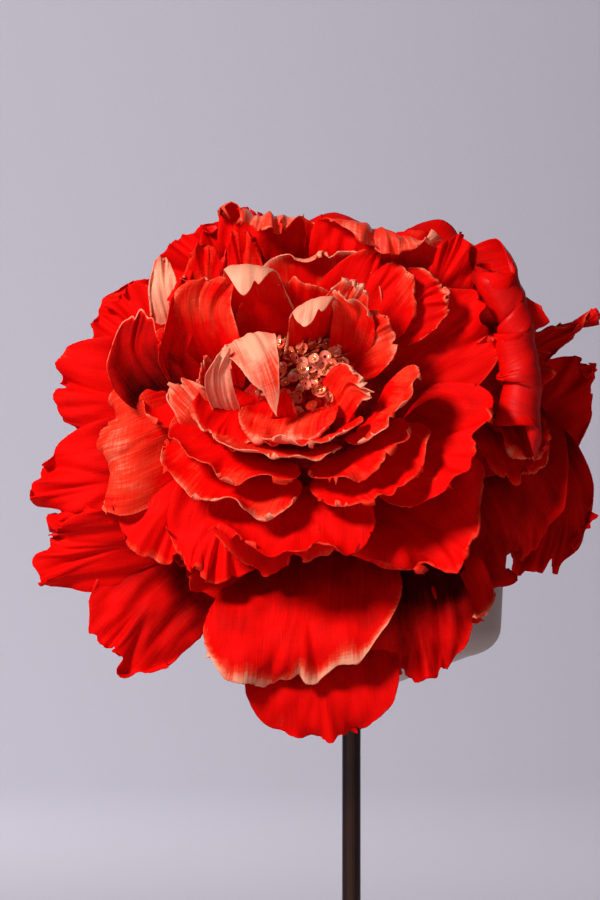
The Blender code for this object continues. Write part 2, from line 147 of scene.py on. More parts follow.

# petals that were shaped one by one. A spine runs from root to tip through its points, in mm from
# the foot's middle; across is which way its left-to-right runs, in degrees from level as seen
# from the front, yaw brings its right side forward, and wide is its width in mm
# below 0, pale, back and base paint shade on petals that lie in shade, and a high pale or rim
# paints highlight on lit ones; the same holds for the fillers below
STYLES = {
    "heart_petal_01": dict(
        spine=((-57, -104, 479), (-52, -125, 483), (-44, -137, 467), (-37, -132, 443)), across=21,
        wide=27, point=0.42, pale=0.75, base=0.3, rim=0.9, cup=-35, ruffle=0.8, deckle=0.5,
        round=(0.05, 0.05), flute=0.8, loose=0),
    "heart_petal_02": dict(
        spine=((-17, -100, 440), (-9, -118, 451), (-1, -128, 461), (7, -134, 458)), across=118,
        wide=25, pale=0.4, rim=0.95, base=0.2, ruffle=2.6, deckle=2.0),
    "heart_petal_03": dict(
        spine=((-18, -100, 479), (-19, -120, 494), (-20, -129, 501), (-21, -140, 496),
               (-22, -142, 488)),
        across=200, wide=38, back=1.0, rim=0.95, ruffle=0.6, deckle=0.4, round=(0.6, 0.35), arch=11,
        loose=0),
    "heart_petal_04": dict(
        spine=((-55, -98, 438), (-64, -117, 452), (-66, -127, 467), (-62, -131, 478)), across=190,
        yaw=15, wide=15, pale=0.85, base=0.4, rim=0.9, cup=30, deckle=0.6),
    "heart_petal_05": dict(
        spine=((-34, -112, 440), (-34, -124, 449), (-34, -129, 459)), across=184, wide=13, pale=0.1,
        rim=0.4, point=0.3, cup=20, ruffle=0.6),
    "heart_petal_06": dict(
        spine=((-9, -98, 472), (-1, -114, 484), (-1, -122, 497), (-7, -127, 504)), across=160,
        wide=22, pale=0.4, rim=0.9, ruffle=2.2),
    "heart_petal_07": dict(
        spine=((-12, -98, 484), (-4, -117, 498), (2, -128, 510)), across=150, wide=22, pale=0.6,
        base=0.0, rim=0.95, ruffle=2.0, deckle=2.4),
    "heart_petal_08": dict(
        spine=((-44, -98, 489), (-49, -119, 508), (-51, -128, 518), (-52, -140, 513),
               (-52, -142, 504)),
        across=178, wide=42, back=1.0, rim=0.95, ruffle=0.6, deckle=0.4, round=(0.55, 0.35),
        arch=11, loose=0),
    "bowl_petal_01": dict(
        spine=((-60, -88, 460), (-70, -112, 484), (-72, -122, 502), (-66, -126, 513)), across=168,
        wide=34, pale=0.3, rim=0.6, back=0.9, cup=24, flute=0.4, loose=10),
    "bowl_petal_02": dict(
        spine=((-55, -92, 428), (-67, -110, 440), (-80, -121, 452), (-89, -120, 461)), across=232,
        wide=27, pale=0.6, base=0.4, rim=0.75, cup=-50, back=0.9),
    "bowl_petal_04": dict(
        spine=((-9, -92, 470), (4, -111, 480), (19, -119, 488)), across=118, wide=34, pale=0.35,
        rim=0.65),
    "bowl_petal_05": dict(curls=((0.2, 0.4, 0.75, -90),)),
    # painted shade: this cupped petal's face is drawn deep red where its inside lies in shade
    "inner_petal_01": dict(
        spine=((-82, -80, 450), (-98, -100, 461), (-107, -109, 478), (-104, -114, 496)), across=196,
        wide=38, pale=-0.55, back=0.8, cup=48, rim=0.95, rim_wide=3.5, base=-0.6, deckle=0.6,
        loose=0, ruffle=1.5, round=(0.25, 0.2), notch=0.01),
    "inner_petal_04": dict(
        spine=((10, -86, 486), (30, -102, 501), (46, -105, 507)), across=115, wide=36, pale=0.05,
        rim=0.75),
    "inner_petal_07": dict(rim=0.6),
    "inner_petal_09": dict(
        spine=((-12, -86, 480), (8, -103, 503), (21, -108, 522)), across=145, wide=48, ruffle=1.6),
    "inner_petal_10": dict(
        spine=((0, -84, 507), (8, -99, 524), (12, -103, 536), (14, -113, 533), (15, -115, 525)),
        across=168, wide=62, crumple=2.4, ruffle=4, back=0.5, rim=0.6, neck=0.6),
    # painted highlight: this wide left petal's face and broad rim are drawn salmon where the light
    # falls on it
    "middle_petal_01": dict(
        spine=((-58, -66, 446), (-90, -92, 443), (-114, -97, 434), (-130, -86, 430)), across=258,
        wide=88, pale=0.45, rim=0.65, back=0.6, deckle=1.6, neck=0.55, rim_wide=16,
        curls=((0.55, 0.45, 0.75, 120), (-0.5, 0.3, 0.82, 50))),
    "middle_petal_03": dict(rim=0.3, base=-0.6),
    "middle_petal_04": dict(
        spine=((5, -68, 455), (38, -90, 478), (68, -92, 497)), across=122, wide=60, ruffle=2.4),
    "middle_petal_05": dict(
        spine=((-41, -76, 500), (-45, -92, 530), (-45, -97, 544), (-45, -106, 542),
               (-46, -110, 535)),
        across=180, wide=44, crumple=2.2, back=0.6, rim=0.5, neck=0.6),
    "middle_petal_06": dict(
        spine=((-80, -44, 453), (-122, -64, 455), (-150, -60, 459)), across=272, wide=62, neck=0.6),
    "middle_petal_07": dict(
        spine=((-30, -84, 430), (-36, -108, 402), (-38, -113, 369)), across=0, wide=72, neck=0.7,
        flute=0.9, pleat=1.6, base=-0.8, rim=0.35),
    "middle_petal_08": dict(
        spine=((14, -82, 408), (36, -113, 388), (53, -128, 366)), across=24, wide=86, cup=38,
        point=0.35, ruffle=3.5, neck=0.6, pale=0.05, base=-0.3, rim=0.4),
    # painted shade: the rolled petal's back is drawn dark red where it is in shade
    "middle_petal_09": dict(
        spine=((43, -56, 462), (66, -70, 473), (86, -76, 478), (116, -78, 479), (160, -78, 480)),
        across=98, wide=118, neck=0.9, back=-0.12, rim=0.55, rim_wide=5, pleat=0.2, crumple=0.5,
        flute=0.35, notch=0.015, deckle=1.4, round=(0.08, 0.14), ruffle=1.8,
        curls=((0, 2.0, 0.28, -345),)),
    "outer_petal_01": dict(
        spine=((-75, -45, 419), (-124, -72, 412), (-159, -66, 407)), across=268, wide=66, neck=0.6),
    "outer_petal_02": dict(
        spine=((-60, -66, 428), (-82, -92, 404), (-92, -97, 372)), across=-15, wide=74, neck=0.7,
        ruffle=5, rim=0.45, pale=0.1),
    # painted shade: drawn deep red, darkest at the root, where these lower right folds lie in shade
    "outer_petal_03": dict(
        spine=((26, -82, 376), (30, -95, 345), (31, -92, 315)), across=6, wide=58, pleat=3.0,
        base=-0.9, pale=-0.35, neck=0.7, ruffle=5),
    "outer_petal_04": dict(
        spine=((24, -56, 480), (43, -72, 512), (54, -72, 539)), across=158, wide=46, point=0.3,
        neck=0.6),
    "outer_petal_05": dict(
        spine=((-75, -36, 474), (-110, -52, 483), (-131, -50, 487)), across=262, wide=66, neck=0.6),
    "outer_petal_06": dict(
        spine=((-65, -45, 388), (-119, -79, 380), (-158, -76, 375)), across=265, yaw=-25, wide=50,
        base=0.0, ruffle=3, neck=0.6),
    # painted highlight: its wide salmon rim is the lit curl of its lower edge
    "outer_petal_07": dict(
        spine=((-23, -68, 380), (-25, -103, 352), (-27, -114, 332), (-28, -110, 312)), across=12,
        wide=100, rim=0.9, ruffle=3, base=-0.4, pale=-0.1, rim_wide=24, neck=0.6, pleat=0.4,
        teeth=4),
    # painted shade: drawn deep red, darkest at the root, where these lower right folds lie in shade
    "outer_petal_08": dict(
        spine=((55, -26, 450), (88, -46, 425), (99, -54, 394), (92, -54, 364)), across=15, wide=50,
        pleat=3.0, base=-0.9, pale=-0.35, neck=0.8),
    "outer_petal_09": dict(
        spine=((70, -26, 450), (93, -42, 480), (113, -46, 491), (125, -50, 498)), across=128,
        wide=24, point=0.45, rim=0.7, base=-0.8),
    "skirt_petal_01": dict(
        spine=((-78, -54, 374), (-102, -72, 352), (-122, -72, 327)), across=315, wide=62, cup=-24,
        neck=0.6, pale=-0.2),
    "skirt_petal_02": dict(
        spine=((-17, -82, 345), (-15, -100, 311), (-12, -96, 286)), across=5, wide=76, base=-0.5,
        neck=0.75, flute=0.2, pleat=0.5, ruffle=2.2, notch=0.01),
    # painted shade: drawn deep red, darkest at the root, where these lower right folds lie in shade
    "skirt_petal_03": dict(
        spine=((42, -74, 380), (50, -82, 356), (56, -78, 338)), across=35, wide=32, pleat=3.0,
        base=-0.9, pale=-0.35, rim=0.4, neck=0.6),
    "skirt_petal_04": dict(
        spine=((70, -20, 430), (98, -35, 451), (124, -50, 475)), across=128, wide=62, point=0.3,
        base=-0.9, neck=0.6),
}

# petals too small or too hidden for the frame to carry, each glued in behind or between others.
# One with a shell is cut from it as in RINGS: shell, direction, half angle and share
FILLERS = (
    ("outer_petal", "upper_left_filler", dict(
        spine=((-45, -44, 490), (-76, -64, 520), (-90, -66, 532)), across=225, wide=64, neck=0.6)),
    ("outer_petal", "top_left_filler", dict(
        spine=((-40, -56, 505), (-58, -78, 532), (-63, -84, 545)), across=205, wide=48, neck=0.6)),
    ("outer_petal", "left_filler", dict(
        spine=((-70, -36, 460), (-104, -58, 484),
               (-124, -58, 502)), across=235, wide=54, neck=0.6)),
    # painted shade: drawn deep red, darkest at the root, where these lower right folds lie in shade
    ("skirt_petal", "right_filler", dict(
        spine=((34, -34, 440), (64, -60, 412), (83, -76, 366)), across=40, wide=98, base=-0.9,
        pale=-0.4, neck=0.8, pleat=2.5)),
    ("skirt_petal", "low_right_filler", dict(
        spine=((24, -66, 392), (46, -86, 360), (52, -90, 345)), across=-4, wide=52, rim=0.8,
        base=-0.9, neck=0.7)),
    ("skirt_petal", "low_left_filler", dict(
        spine=((-50, -50, 400), (-72, -80, 378), (-84, -84, 366)), across=310, wide=64, base=-0.6,
        neck=0.7)),
    ("outer_petal", "low_middle_filler", dict(
        spine=((-45, -78, 428), (-62, -103, 398), (-70, -108, 364)), across=-10, wide=58, ruffle=5,
        neck=0.7, rim=0.4)),
    ("outer_petal", "back_filler_1", dict(shell=(0.62, 75, 40, 0.88))),
    ("outer_petal", "back_filler_2", dict(shell=(0.72, 112, 38, 0.88))),
    ("outer_petal", "back_filler_3", dict(shell=(0.80, 45, 34, 0.86))),
    ("outer_petal", "back_filler_4", dict(shell=(0.80, 150, 34, 0.88))),
    ("outer_petal", "back_filler_5", dict(shell=(0.86, 90, 42, 0.84))),
    ("skirt_petal", "back_filler_6", dict(shell=(0.93, 60, 34, 0.84))),
    ("skirt_petal", "back_filler_7", dict(shell=(0.93, 118, 36, 0.84))),
    ("middle_petal", "roll_end_inner", dict(
        spine=((74, -66, 452), (84, -78, 438), (90, -86, 424)), across=14, wide=26, cup=55, rim=0.7,
        base=-0.8, rim_wide=4, ruffle=2.2, loose=0, neck=0.8)),
    ("middle_petal", "roll_end_outer", dict(
        spine=((70, -64, 450), (80, -74, 432), (86, -80, 415)), across=18, wide=38, cup=45, rim=0.6,
        base=-0.8, rim_wide=4, ruffle=2.5, loose=0, neck=0.8)),
    ("bowl_petal", "ear_curl", dict(
        spine=((-89, -106, 490), (-92, -114, 506), (-93, -113, 523)), across=186, wide=19, cup=-20,
        pale=0.95, rim=0.85, base=0, round=(0.45, 0.4), crumple=1.0, loose=0, neck=0.5)),
    ("inner_petal", "ear_blade", dict(
        spine=((-86, -94, 458), (-90, -112, 477), (-85, -118, 497), (-80, -117, 515)), across=172,
        yaw=45, wide=20, cup=30, pale=0.05, rim=0.2, loose=10)),
    ("middle_petal", "top_lobe", dict(
        spine=((-50, -70, 492), (-54, -90, 515), (-56, -94, 538)), across=182, wide=30, pale=0.35,
        rim=0.4, loose=20, round=(0.5, 0.3), notch=0.01, cup=20)),
    ("middle_petal", "upper_lobe", dict(
        spine=((-64, -70, 490), (-72, -88, 510), (-74, -92, 530)), across=190, wide=34, pale=0.25,
        rim=0.4, loose=20, round=(0.45, 0.3), notch=0.01, cup=20)),
    ("inner_petal", "heart_left_strip", dict(
        spine=((-62, -96, 452), (-71, -112, 460), (-74, -121, 470)), across=250, wide=20, pale=0.5,
        rim=0.9, cup=-30, loose=0, crumple=0.3, notch=0, ruffle=0.8)),
    ("bowl_petal", "heart_left_floor", dict(
        spine=((-52, -98, 456), (-59, -114, 446), (-64, -124, 437), (-65, -128, 431)), across=-25,
        wide=40, cup=25, pale=0.1, rim=0.7, neck=0.7, base=-0.2, ruffle=1.6)),
    ("bowl_petal", "heart_back", dict(
        spine=((-29, -84, 472), (-30, -104, 492), (-31, -118, 511)), across=182, wide=56, rim=0.5,
        neck=0.8, pale=0.05)),
    ("bowl_petal", "heart_floor", dict(
        spine=((-27, -106, 453), (-31, -119, 444), (-34, -129, 437), (-35, -133, 431)), across=0,
        wide=50, cup=25, pale=0.4, rim=0.8, neck=0.7, base=-0.2, ruffle=1.6)),
)


# ---------------------------------------------------------------------------- what can be changed

def to_linear(colour):
    """An sRGB hex colour as linear RGBA."""
    parts = [int(colour[k:k + 2], 16) / 255 for k in (1, 3, 5)]
    return (*(c / 12.92 if c <= 0.04045 else ((c + 0.055) / 1.055) ** 2.4 for c in parts), 1.0)


def length(name, description, default):
    return FloatProperty(name=name, description=description, default=default, min=0.0,
                         unit="LENGTH")


def colour(name, description, default):
    return FloatVectorProperty(name=name, description=description, default=to_linear(default),
                               size=4, min=0.0, max=1.0, subtype="COLOR")


class PeonySizes(bpy.types.PropertyGroup):
    cloth: length("Silk thickness", "Thickness of the stiffened silk", 0.45 * MM)
    ruffle: FloatProperty(name="Ruffle", description="How ruffled the petals' rims are",
                          default=1.0, min=0.0, max=2.0, subtype="FACTOR")
    sequin: length("Sequin diameter", "Across one cup sequin", 6.2 * MM)
    bead: length("Bead diameter", "Across one gold seed bead", 1.9 * MM)
    sequins: IntProperty(name="Sequins", description="How many cup sequins the heart has",
                         default=104, min=1)
    tape: length("Tape pitch", "How far the stem's tape climbs in a turn", 7 * MM)
    cup_wall: length("Cup wall", "Thickness of the cup's wall", 3 * MM)


class PeonyColours(bpy.types.PropertyGroup):
    # in the silk, deep is painted shade at the petals' roots and on petals in shade (in the cotton
    # it is the darker thread); salmon and peach are partly paler dye and satin, partly painted
    # highlight where the silk is lit
    deep: colour("Deep red", "The silk low down in the folds", "#4a0201")
    red: colour("Red", "The silk's main colour", "#e20402")
    salmon: colour("Salmon", "The silk where it is rubbed thin", "#f03a22")
    peach: colour("Peach", "The palest silk", "#f4a283")
    film: colour("Sequin film", "The clear film of the sequins", "#f5654c")
    gold: colour("Gold", "Sequin rims and seed beads", "#f5c266")
    cup: colour("Cup", "The frosted cup", "#bfa79f")
    bronze: colour("Bronze", "Rod and foot", "#2a1a14")
    felt: colour("Felt", "The pad under the foot", "#1d1c1d")
    foam: colour("Foam", "The block in the cup", "#4f6b45")
    tape: colour("Stem tape", "The paper tape round the stem", "#46602f")
    paper: colour("Backdrop", "The studio's paper", "#d8d6dd")


# ------------------------------------------------------------------------------------- materials

def add_node(tree, kind, links=None, into=None, stops=(), **settings):
    """Adds a node with these properties and socket values. links are the sockets that feed it,
    by its own sockets' names, into is the socket that its first output feeds, and stops are a
    ramp's (position, linear colour)."""
    made = tree.nodes.new(kind)
    for key, value in settings.items():
        if hasattr(made, key):
            setattr(made, key, value)
        else:
            made.inputs[key.replace("_", " ")].default_value = value
    for key, source in (links or {}).items():
        tree.links.new(source, made.inputs[key])
    if stops:
        elements = made.color_ramp.elements
        while len(elements) < len(stops):
            elements.new(0.5)
        for element, (position, tone) in zip(elements, stops):
            element.position, element.color = position, tone
    if into is not None:
        tree.links.new(made.outputs[0], into)
    return made


def new_material(name, **sockets):
    """A Principled material with these values on its own sockets."""
    mat = bpy.data.materials.new(name)
    mat.use_nodes = True
    shader = mat.node_tree.nodes["Principled BSDF"]
    for key, value in sockets.items():
        shader.inputs[key.replace("_", " ")].default_value = value
    return mat, mat.node_tree, shader


def shade(tone, share, lift=0.0):
    """A linear colour times share, lifted by lift."""
    return (*(min(1.0, c * share + lift) for c in tone[:3]), 1.0)


def stretched_noise(tree, place, scale, detail=2.0):
    """Noise whose cells are stretched: scale is cells per metre along each axis."""
    moved = add_node(tree, "ShaderNodeMapping", {"Vector": place}, Scale=scale)
    return add_node(tree, "ShaderNodeTexNoise", {"Vector": moved.outputs["Vector"]}, Scale=1.0,
                    Detail=detail).outputs["Fac"]


def silk(name, rough, gloss, grain):
    """Stiffened silk, dyed by hand: threads 0.7 mm apart run from root to tip, drawn about three
    times coarser than they are so that they show, and the dye is uneven. The cloth's own
    "tone" attribute says how deep or pale each point is drawn: uneven dye and paler edges and
    backs, with painted shade where it runs to deep red and painted highlight where it runs to
    salmon and peach."""
    tones = bpy.context.scene.peony_colours
    mat, tree, shader = new_material(
        name, Roughness=rough, Specular_IOR_Level=gloss, Sheen_Weight=0.03, Sheen_Roughness=0.4,
        Sheen_Tint=tones.red)
    cloth = add_node(tree, "ShaderNodeUVMap", uv_map="cloth").outputs["UV"]
    warp_threads = stretched_noise(tree, cloth, (1400, 70, 1))
    weft_threads = stretched_noise(tree, cloth, (150, 1200, 1), 1.0)
    veins = stretched_noise(tree, cloth, (420, 16, 1), 3.0)
    cloud = stretched_noise(tree, cloth, (75, 50, 1), 3.0)
    weave = add_node(tree, "ShaderNodeMix", {"A": warp_threads, "B": weft_threads},
                     Factor=0.35).outputs["Result"]
    veined = add_node(tree, "ShaderNodeMix", {"A": weave, "B": veins}, Factor=0.4)
    uneven = add_node(tree, "ShaderNodeMix", {"A": veined.outputs["Result"], "B": cloud},
                      Factor=0.33)
    spread = add_node(tree, "ShaderNodeMapRange", {"Value": uneven.outputs["Result"]},
                      From_Min=0.36, From_Max=0.64, To_Min=-0.24, To_Max=0.24)
    tone = add_node(tree, "ShaderNodeAttribute", attribute_name="tone")
    total = add_node(tree, "ShaderNodeMath",
                     {0: tone.outputs["Fac"], 1: spread.outputs["Result"]}, operation="ADD")
    place = add_node(tree, "ShaderNodeMapRange", {"Value": total.outputs[0]}, From_Min=-1.0,
                     From_Max=1.0)
    add_node(tree, "ShaderNodeValToRGB", {"Fac": place.outputs["Result"]},
             shader.inputs["Base Color"],
             ((0.0, tones.deep), (0.48, tones.red), (0.62, tones.red), (0.78, tones.salmon),
              (0.96, tones.peach)))
    relief = add_node(tree, "ShaderNodeMix", {"A": weave, "B": veins}, Factor=0.45)
    add_node(tree, "ShaderNodeBump", {"Height": relief.outputs["Result"]},
             shader.inputs["Normal"], Strength=grain, Distance=0.8 * MM)
    return mat


def cotton(name):
    """Red cotton stretched over wadding: a plain weave, 0.8 mm a thread."""
    tones = bpy.context.scene.peony_colours
    mat, tree, shader = new_material(name, Roughness=0.85, Sheen_Weight=0.2,
                                     Specular_IOR_Level=0.2, Sheen_Tint=tones.salmon)
    place = add_node(tree, "ShaderNodeTexCoord").outputs["Object"]
    weave = add_node(tree, "ShaderNodeMix",
                     {"A": stretched_noise(tree, place, (1250, 1250, 300)),
                      "B": stretched_noise(tree, place, (300, 300, 1250))},
                     Factor=0.5).outputs["Result"]
    add_node(tree, "ShaderNodeValToRGB", {"Fac": weave}, shader.inputs["Base Color"],
             ((0.35, tones.deep), (0.7, tones.red)))
    add_node(tree, "ShaderNodeBump", {"Height": weave}, shader.inputs["Normal"], Strength=0.5,
             Distance=0.4 * MM)
    return mat


def sequin_film(name):
    """Clear dyed PET film, pressed: glossy, with a strong clear coat and faint pressing marks,
    and paler in patches where it is thin."""
    mat, tree, shader = new_material(name, Roughness=0.1, IOR=1.57, Coat_Weight=0.9,
                                     Coat_Roughness=0.04)
    film = bpy.context.scene.peony_colours.film
    place = add_node(tree, "ShaderNodeTexCoord").outputs["Object"]
    patches = stretched_noise(tree, place, (160, 160, 160))
    add_node(tree, "ShaderNodeValToRGB", {"Fac": patches}, shader.inputs["Base Color"],
             ((0.35, film), (0.62, shade(film, 1.5, 0.1))))
    marks = stretched_noise(tree, place, (900, 900, 900))
    add_node(tree, "ShaderNodeBump", {"Height": marks}, shader.inputs["Normal"], Strength=0.12,
             Distance=0.2 * MM)
    return mat


def gilt(name):
    """Gilt foil and metal beads: a warm metal with rubbed spots."""
    mat, tree, shader = new_material(name, Metallic=1.0)
    gold = bpy.context.scene.peony_colours.gold
    place = add_node(tree, "ShaderNodeTexCoord").outputs["Object"]
    rub = stretched_noise(tree, place, (500, 500, 500))
    add_node(tree, "ShaderNodeValToRGB", {"Fac": rub}, shader.inputs["Base Color"],
             ((0.35, shade(gold, 0.55)), (0.6, gold)))
    add_node(tree, "ShaderNodeMapRange", {"Value": rub}, shader.inputs["Roughness"], To_Min=0.4,
             To_Max=0.15)
    return mat


def frosted_acrylic(name):
    """Cast acrylic, frosted by etching: soft gloss, a fine even grain, a little light in it."""
    mat, tree, shader = new_material(
        name, IOR=1.49, Subsurface_Weight=0.25, Subsurface_Scale=3 * MM,
        Subsurface_Radius=(1.0, 0.8, 0.75), Coat_Weight=0.15, Coat_Roughness=0.35)
    body = bpy.context.scene.peony_colours.cup
    place = add_node(tree, "ShaderNodeTexCoord").outputs["Object"]
    grain = stretched_noise(tree, place, (1500, 1500, 1500))
    cloud = stretched_noise(tree, place, (22, 22, 30), 3.0)
    patchy = add_node(tree, "ShaderNodeMix", {"A": cloud, "B": grain}, Factor=0.3)
    add_node(tree, "ShaderNodeValToRGB", {"Fac": patchy.outputs["Result"]},
             shader.inputs["Base Color"], ((0.35, shade(body, 0.86)), (0.6, body)))
    add_node(tree, "ShaderNodeMapRange", {"Value": cloud}, shader.inputs["Roughness"],
             From_Min=0.3, From_Max=0.7, To_Min=0.36, To_Max=0.5)
    add_node(tree, "ShaderNodeBump", {"Height": grain}, shader.inputs["Normal"], Strength=0.08,
             Distance=0.1 * MM)
    return mat


def bronzed_steel(name, along):
    """Steel blackened to a brown bronze and waxed: long polishing lines, worn warmer in places.
    along is how the lines run: cells per metre on each axis."""
    mat, tree, shader = new_material(name, Metallic=0.85, Coat_Weight=0.3, Coat_Roughness=0.2)
    bronze = bpy.context.scene.peony_colours.bronze
    warm = (*(min(1.0, c * k) for c, k in zip(bronze[:3], (3.2, 2.3, 1.9))), 1.0)
    place = add_node(tree, "ShaderNodeTexCoord").outputs["Object"]
    lines = stretched_noise(tree, place, along, 3.0)
    worn = stretched_noise(tree, place, (60, 60, 25), 4.0)
    streaked = add_node(tree, "ShaderNodeMix", {"A": worn, "B": lines}, Factor=0.4)
    add_node(tree, "ShaderNodeValToRGB", {"Fac": streaked.outputs["Result"]},
             shader.inputs["Base Color"], ((0.42, bronze), (0.7, warm)))
    add_node(tree, "ShaderNodeMapRange", {"Value": lines}, shader.inputs["Roughness"],
             From_Min=0.3, From_Max=0.7, To_Min=0.24, To_Max=0.42)
    add_node(tree, "ShaderNodeBump", {"Height": lines}, shader.inputs["Normal"], Strength=0.1,
             Distance=0.1 * MM)
    return mat


def zinc_steel(name):
    """Zinc-plated screws: a dull spangled grey metal."""
    mat, tree, shader = new_material(name, Metallic=1.0, Roughness=0.38)
    place = add_node(tree, "ShaderNodeTexCoord").outputs["Object"]
    spangle = stretched_noise(tree, place, (700, 700, 700))
    add_node(tree, "ShaderNodeValToRGB", {"Fac": spangle}, shader.inputs["Base Color"],
             ((0.35, to_linear("#8b8c90")), (0.65, to_linear("#c3c4c6"))))
    return mat


def fibrous(name, tone, lighter, scale, depth, sheen):
    """Felt, foam or crepe paper: no gloss, a broken surface of cells or fibres. scale is cells
    per metre on each axis."""
    mat, tree, shader = new_material(name, Roughness=0.95, Specular_IOR_Level=0.15,
                                     Sheen_Weight=sheen)
    place = add_node(tree, "ShaderNodeTexCoord").outputs["Object"]
    cells = stretched_noise(tree, place, scale, 4.0)
    add_node(tree, "ShaderNodeValToRGB", {"Fac": cells}, shader.inputs["Base Color"],
             ((0.3, shade(tone, 0.5)), (0.5, tone), (0.7, shade(tone, lighter, 0.01))))
    add_node(tree, "ShaderNodeBump", {"Height": cells}, shader.inputs["Normal"], Strength=0.7,
             Distance=depth)
    return mat


def backdrop_paper(name, tone):
    """Wide studio paper: matte, with a faint fibre that only keeps it from looking flat."""
    mat, tree, shader = new_material(name, Roughness=0.9)
    place = add_node(tree, "ShaderNodeTexCoord").outputs["Object"]
    fibre = stretched_noise(tree, place, (300, 300, 300))
    add_node(tree, "ShaderNodeValToRGB", {"Fac": fibre}, shader.inputs["Base Color"],
             ((0.3, shade(tone, 0.97)), (0.7, tone)))
    return mat


# ------------------------------------------------------------------------------ modelling by hand

def start_clean():
    if bpy.context.mode != "OBJECT":
        bpy.ops.object.mode_set(mode="OBJECT")
    bpy.ops.object.select_all(action="DESELECT")


def turned(name, profile, segments=96, loop=False, smooth_angle=35):
    """Turns a solid about Z: a disc or ring is extruded along the profile of (radius, height),
    ring by ring. A loop's last point meets its first one; otherwise both ends are capped."""
    start_clean()
    radius, height = profile[0]
    bpy.ops.mesh.primitive_circle_add(vertices=segments, radius=radius, location=(0, 0, height),
                                      fill_type="NOTHING" if loop else "NGON")
    obj = bpy.context.object
    obj.name = name
    bpy.ops.object.mode_set(mode="EDIT")
    bpy.ops.mesh.select_mode(type="EDGE" if loop else "FACE")
    bpy.ops.mesh.select_all(action="SELECT")
    for next_radius, next_height in profile[1:]:
        bpy.ops.mesh.extrude_region_move(
            TRANSFORM_OT_translate={"value": (0, 0, next_height - height)})
        share = next_radius / radius
        if abs(share - 1) > 1e-6:
            bpy.ops.transform.resize(value=(share, share, 1), center_override=(0, 0, next_height))
        radius, height = next_radius, next_height
    bpy.ops.mesh.select_all(action="SELECT")
    if loop:
        bpy.ops.mesh.remove_doubles(threshold=1e-6)
    bpy.ops.mesh.normals_make_consistent(inside=False)
    bpy.ops.object.mode_set(mode="OBJECT")
    bpy.ops.object.transform_apply(location=True, rotation=True, scale=True)
    bpy.ops.object.shade_smooth_by_angle(angle=math.radians(smooth_angle))
    return obj


def rounded(profile, index, radius, steps=4):
    """The profile with the corner at index rounded by an arc-like curve."""
    corner = Vector(profile[index])
    before, after = Vector(profile[index - 1]), Vector(profile[index + 1])
    start = corner + (before - corner).normalized() * radius
    end = corner + (after - corner).normalized() * radius
    arc = [tuple(start.lerp(corner, t).lerp(corner.lerp(end, t), t))
           for t in (k / steps for k in range(steps + 1))]
    return list(profile[:index]) + arc + list(profile[index + 1:])


def finish_piece(obj, slot, replaces, *mats):
    """Gives a piece its materials, its body and the frame's nodes that it stands for, which it
    hides; slot is not used.
    """
    if mats:
        obj.data.materials.clear()
        for mat in mats:
            obj.data.materials.append(mat)
    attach(obj, ROOT)
    if replaces:
        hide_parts(*replaces)
    return obj


# ------------------------------------------------------------------------------- sheets of cloth

def smooth(low, high, x):
    t = np.clip((x - low) / (high - low), 0, 1)
    return t * t * (3 - 2 * t)


def unit(v):
    return v / np.maximum(np.linalg.norm(v, axis=-1, keepdims=True), 1e-12)


def shell(q, s):
    """Radius and height on shell q at share s of the way from its root to its rim."""
    q, s = np.broadcast_arrays(q, s)
    angle = np.radians(ROOT_ANGLES[0] + (ROOT_ANGLES[1] - ROOT_ANGLES[0]) * q)
    root = np.stack([(FORM_RADIUS + ROOT_GAP) * np.sin(angle) ** FORM_SQUARENESS,
                     (FORM_HEIGHT + ROOT_GAP) * np.cos(angle) ** FORM_SQUARENESS], -1)
    rim = np.stack([np.interp(q, SHELL_Q, RIM_RADIUS), np.interp(q, SHELL_Q, RIM_HEIGHT)], -1)
    reach = HANDLE * np.linalg.norm(rim - root, axis=-1, keepdims=True)
    out, end = (np.radians(np.interp(q, SHELL_Q, v)) for v in (ROOT_SLOPE, RIM_SLOPE))
    first = root + reach * np.stack([np.cos(out), np.sin(out)], -1)
    last = rim - reach * np.stack([np.cos(end), np.sin(end)], -1)
    s = s[..., None]
    return ((1 - s) ** 3 * root + 3 * (1 - s) ** 2 * s * first
            + 3 * (1 - s) * s * s * last + s ** 3 * rim)


def warp(p):
    """Slow waves through the whole head, as the frame's petals have them."""
    k = math.tau / WARP_LENGTH
    x, y, z = p[..., 0], p[..., 1], p[..., 2]
    fade = np.clip(np.hypot(x, y) / FORM_RADIUS - 0.6, 0, 1)[..., None]
    return p + fade * WARP * np.stack([
        np.sin(k * y + 0.4) + 0.4 * np.sin(k * z + 2.0),
        np.sin(k * z + 1.3) + 0.4 * np.sin(k * x + 0.7),
        np.sin(k * x + 2.6) + 0.6 * np.sin(k * y + 4.1)], -1)


def placed(p):
    """Points of the head's own frame, in the frame that everything shares."""
    return p @ np.array(HEAD.to_3x3()).T + np.array(HEAD.translation)


def along_spine(spine, t):
    """Points on a smooth curve through the spine's points; t is 0 at its root and 1 at its tip,
    by length, and goes on straight past the tip."""
    knots = np.array(spine, float) * MM
    where = np.concatenate([[0], np.cumsum(np.linalg.norm(np.diff(knots, axis=0), axis=1))])
    where /= where[-1]
    slopes = np.gradient(knots, where, axis=0)
    t = np.asarray(t)
    inside = np.clip(t, 0, 1)
    k = np.clip(np.searchsorted(where, inside, side="right") - 1, 0, len(where) - 2)
    step = (where[k + 1] - where[k])[..., None]
    u = ((inside - where[k]) / step[..., 0])[..., None]
    at = ((2 * u ** 3 - 3 * u ** 2 + 1) * knots[k] + (u ** 3 - 2 * u ** 2 + u) * step * slopes[k]
          + (3 * u ** 2 - 2 * u ** 3) * knots[k + 1] + (u ** 3 - u ** 2) * step * slopes[k + 1])
    return at + (t - inside)[..., None] * slopes[-1]


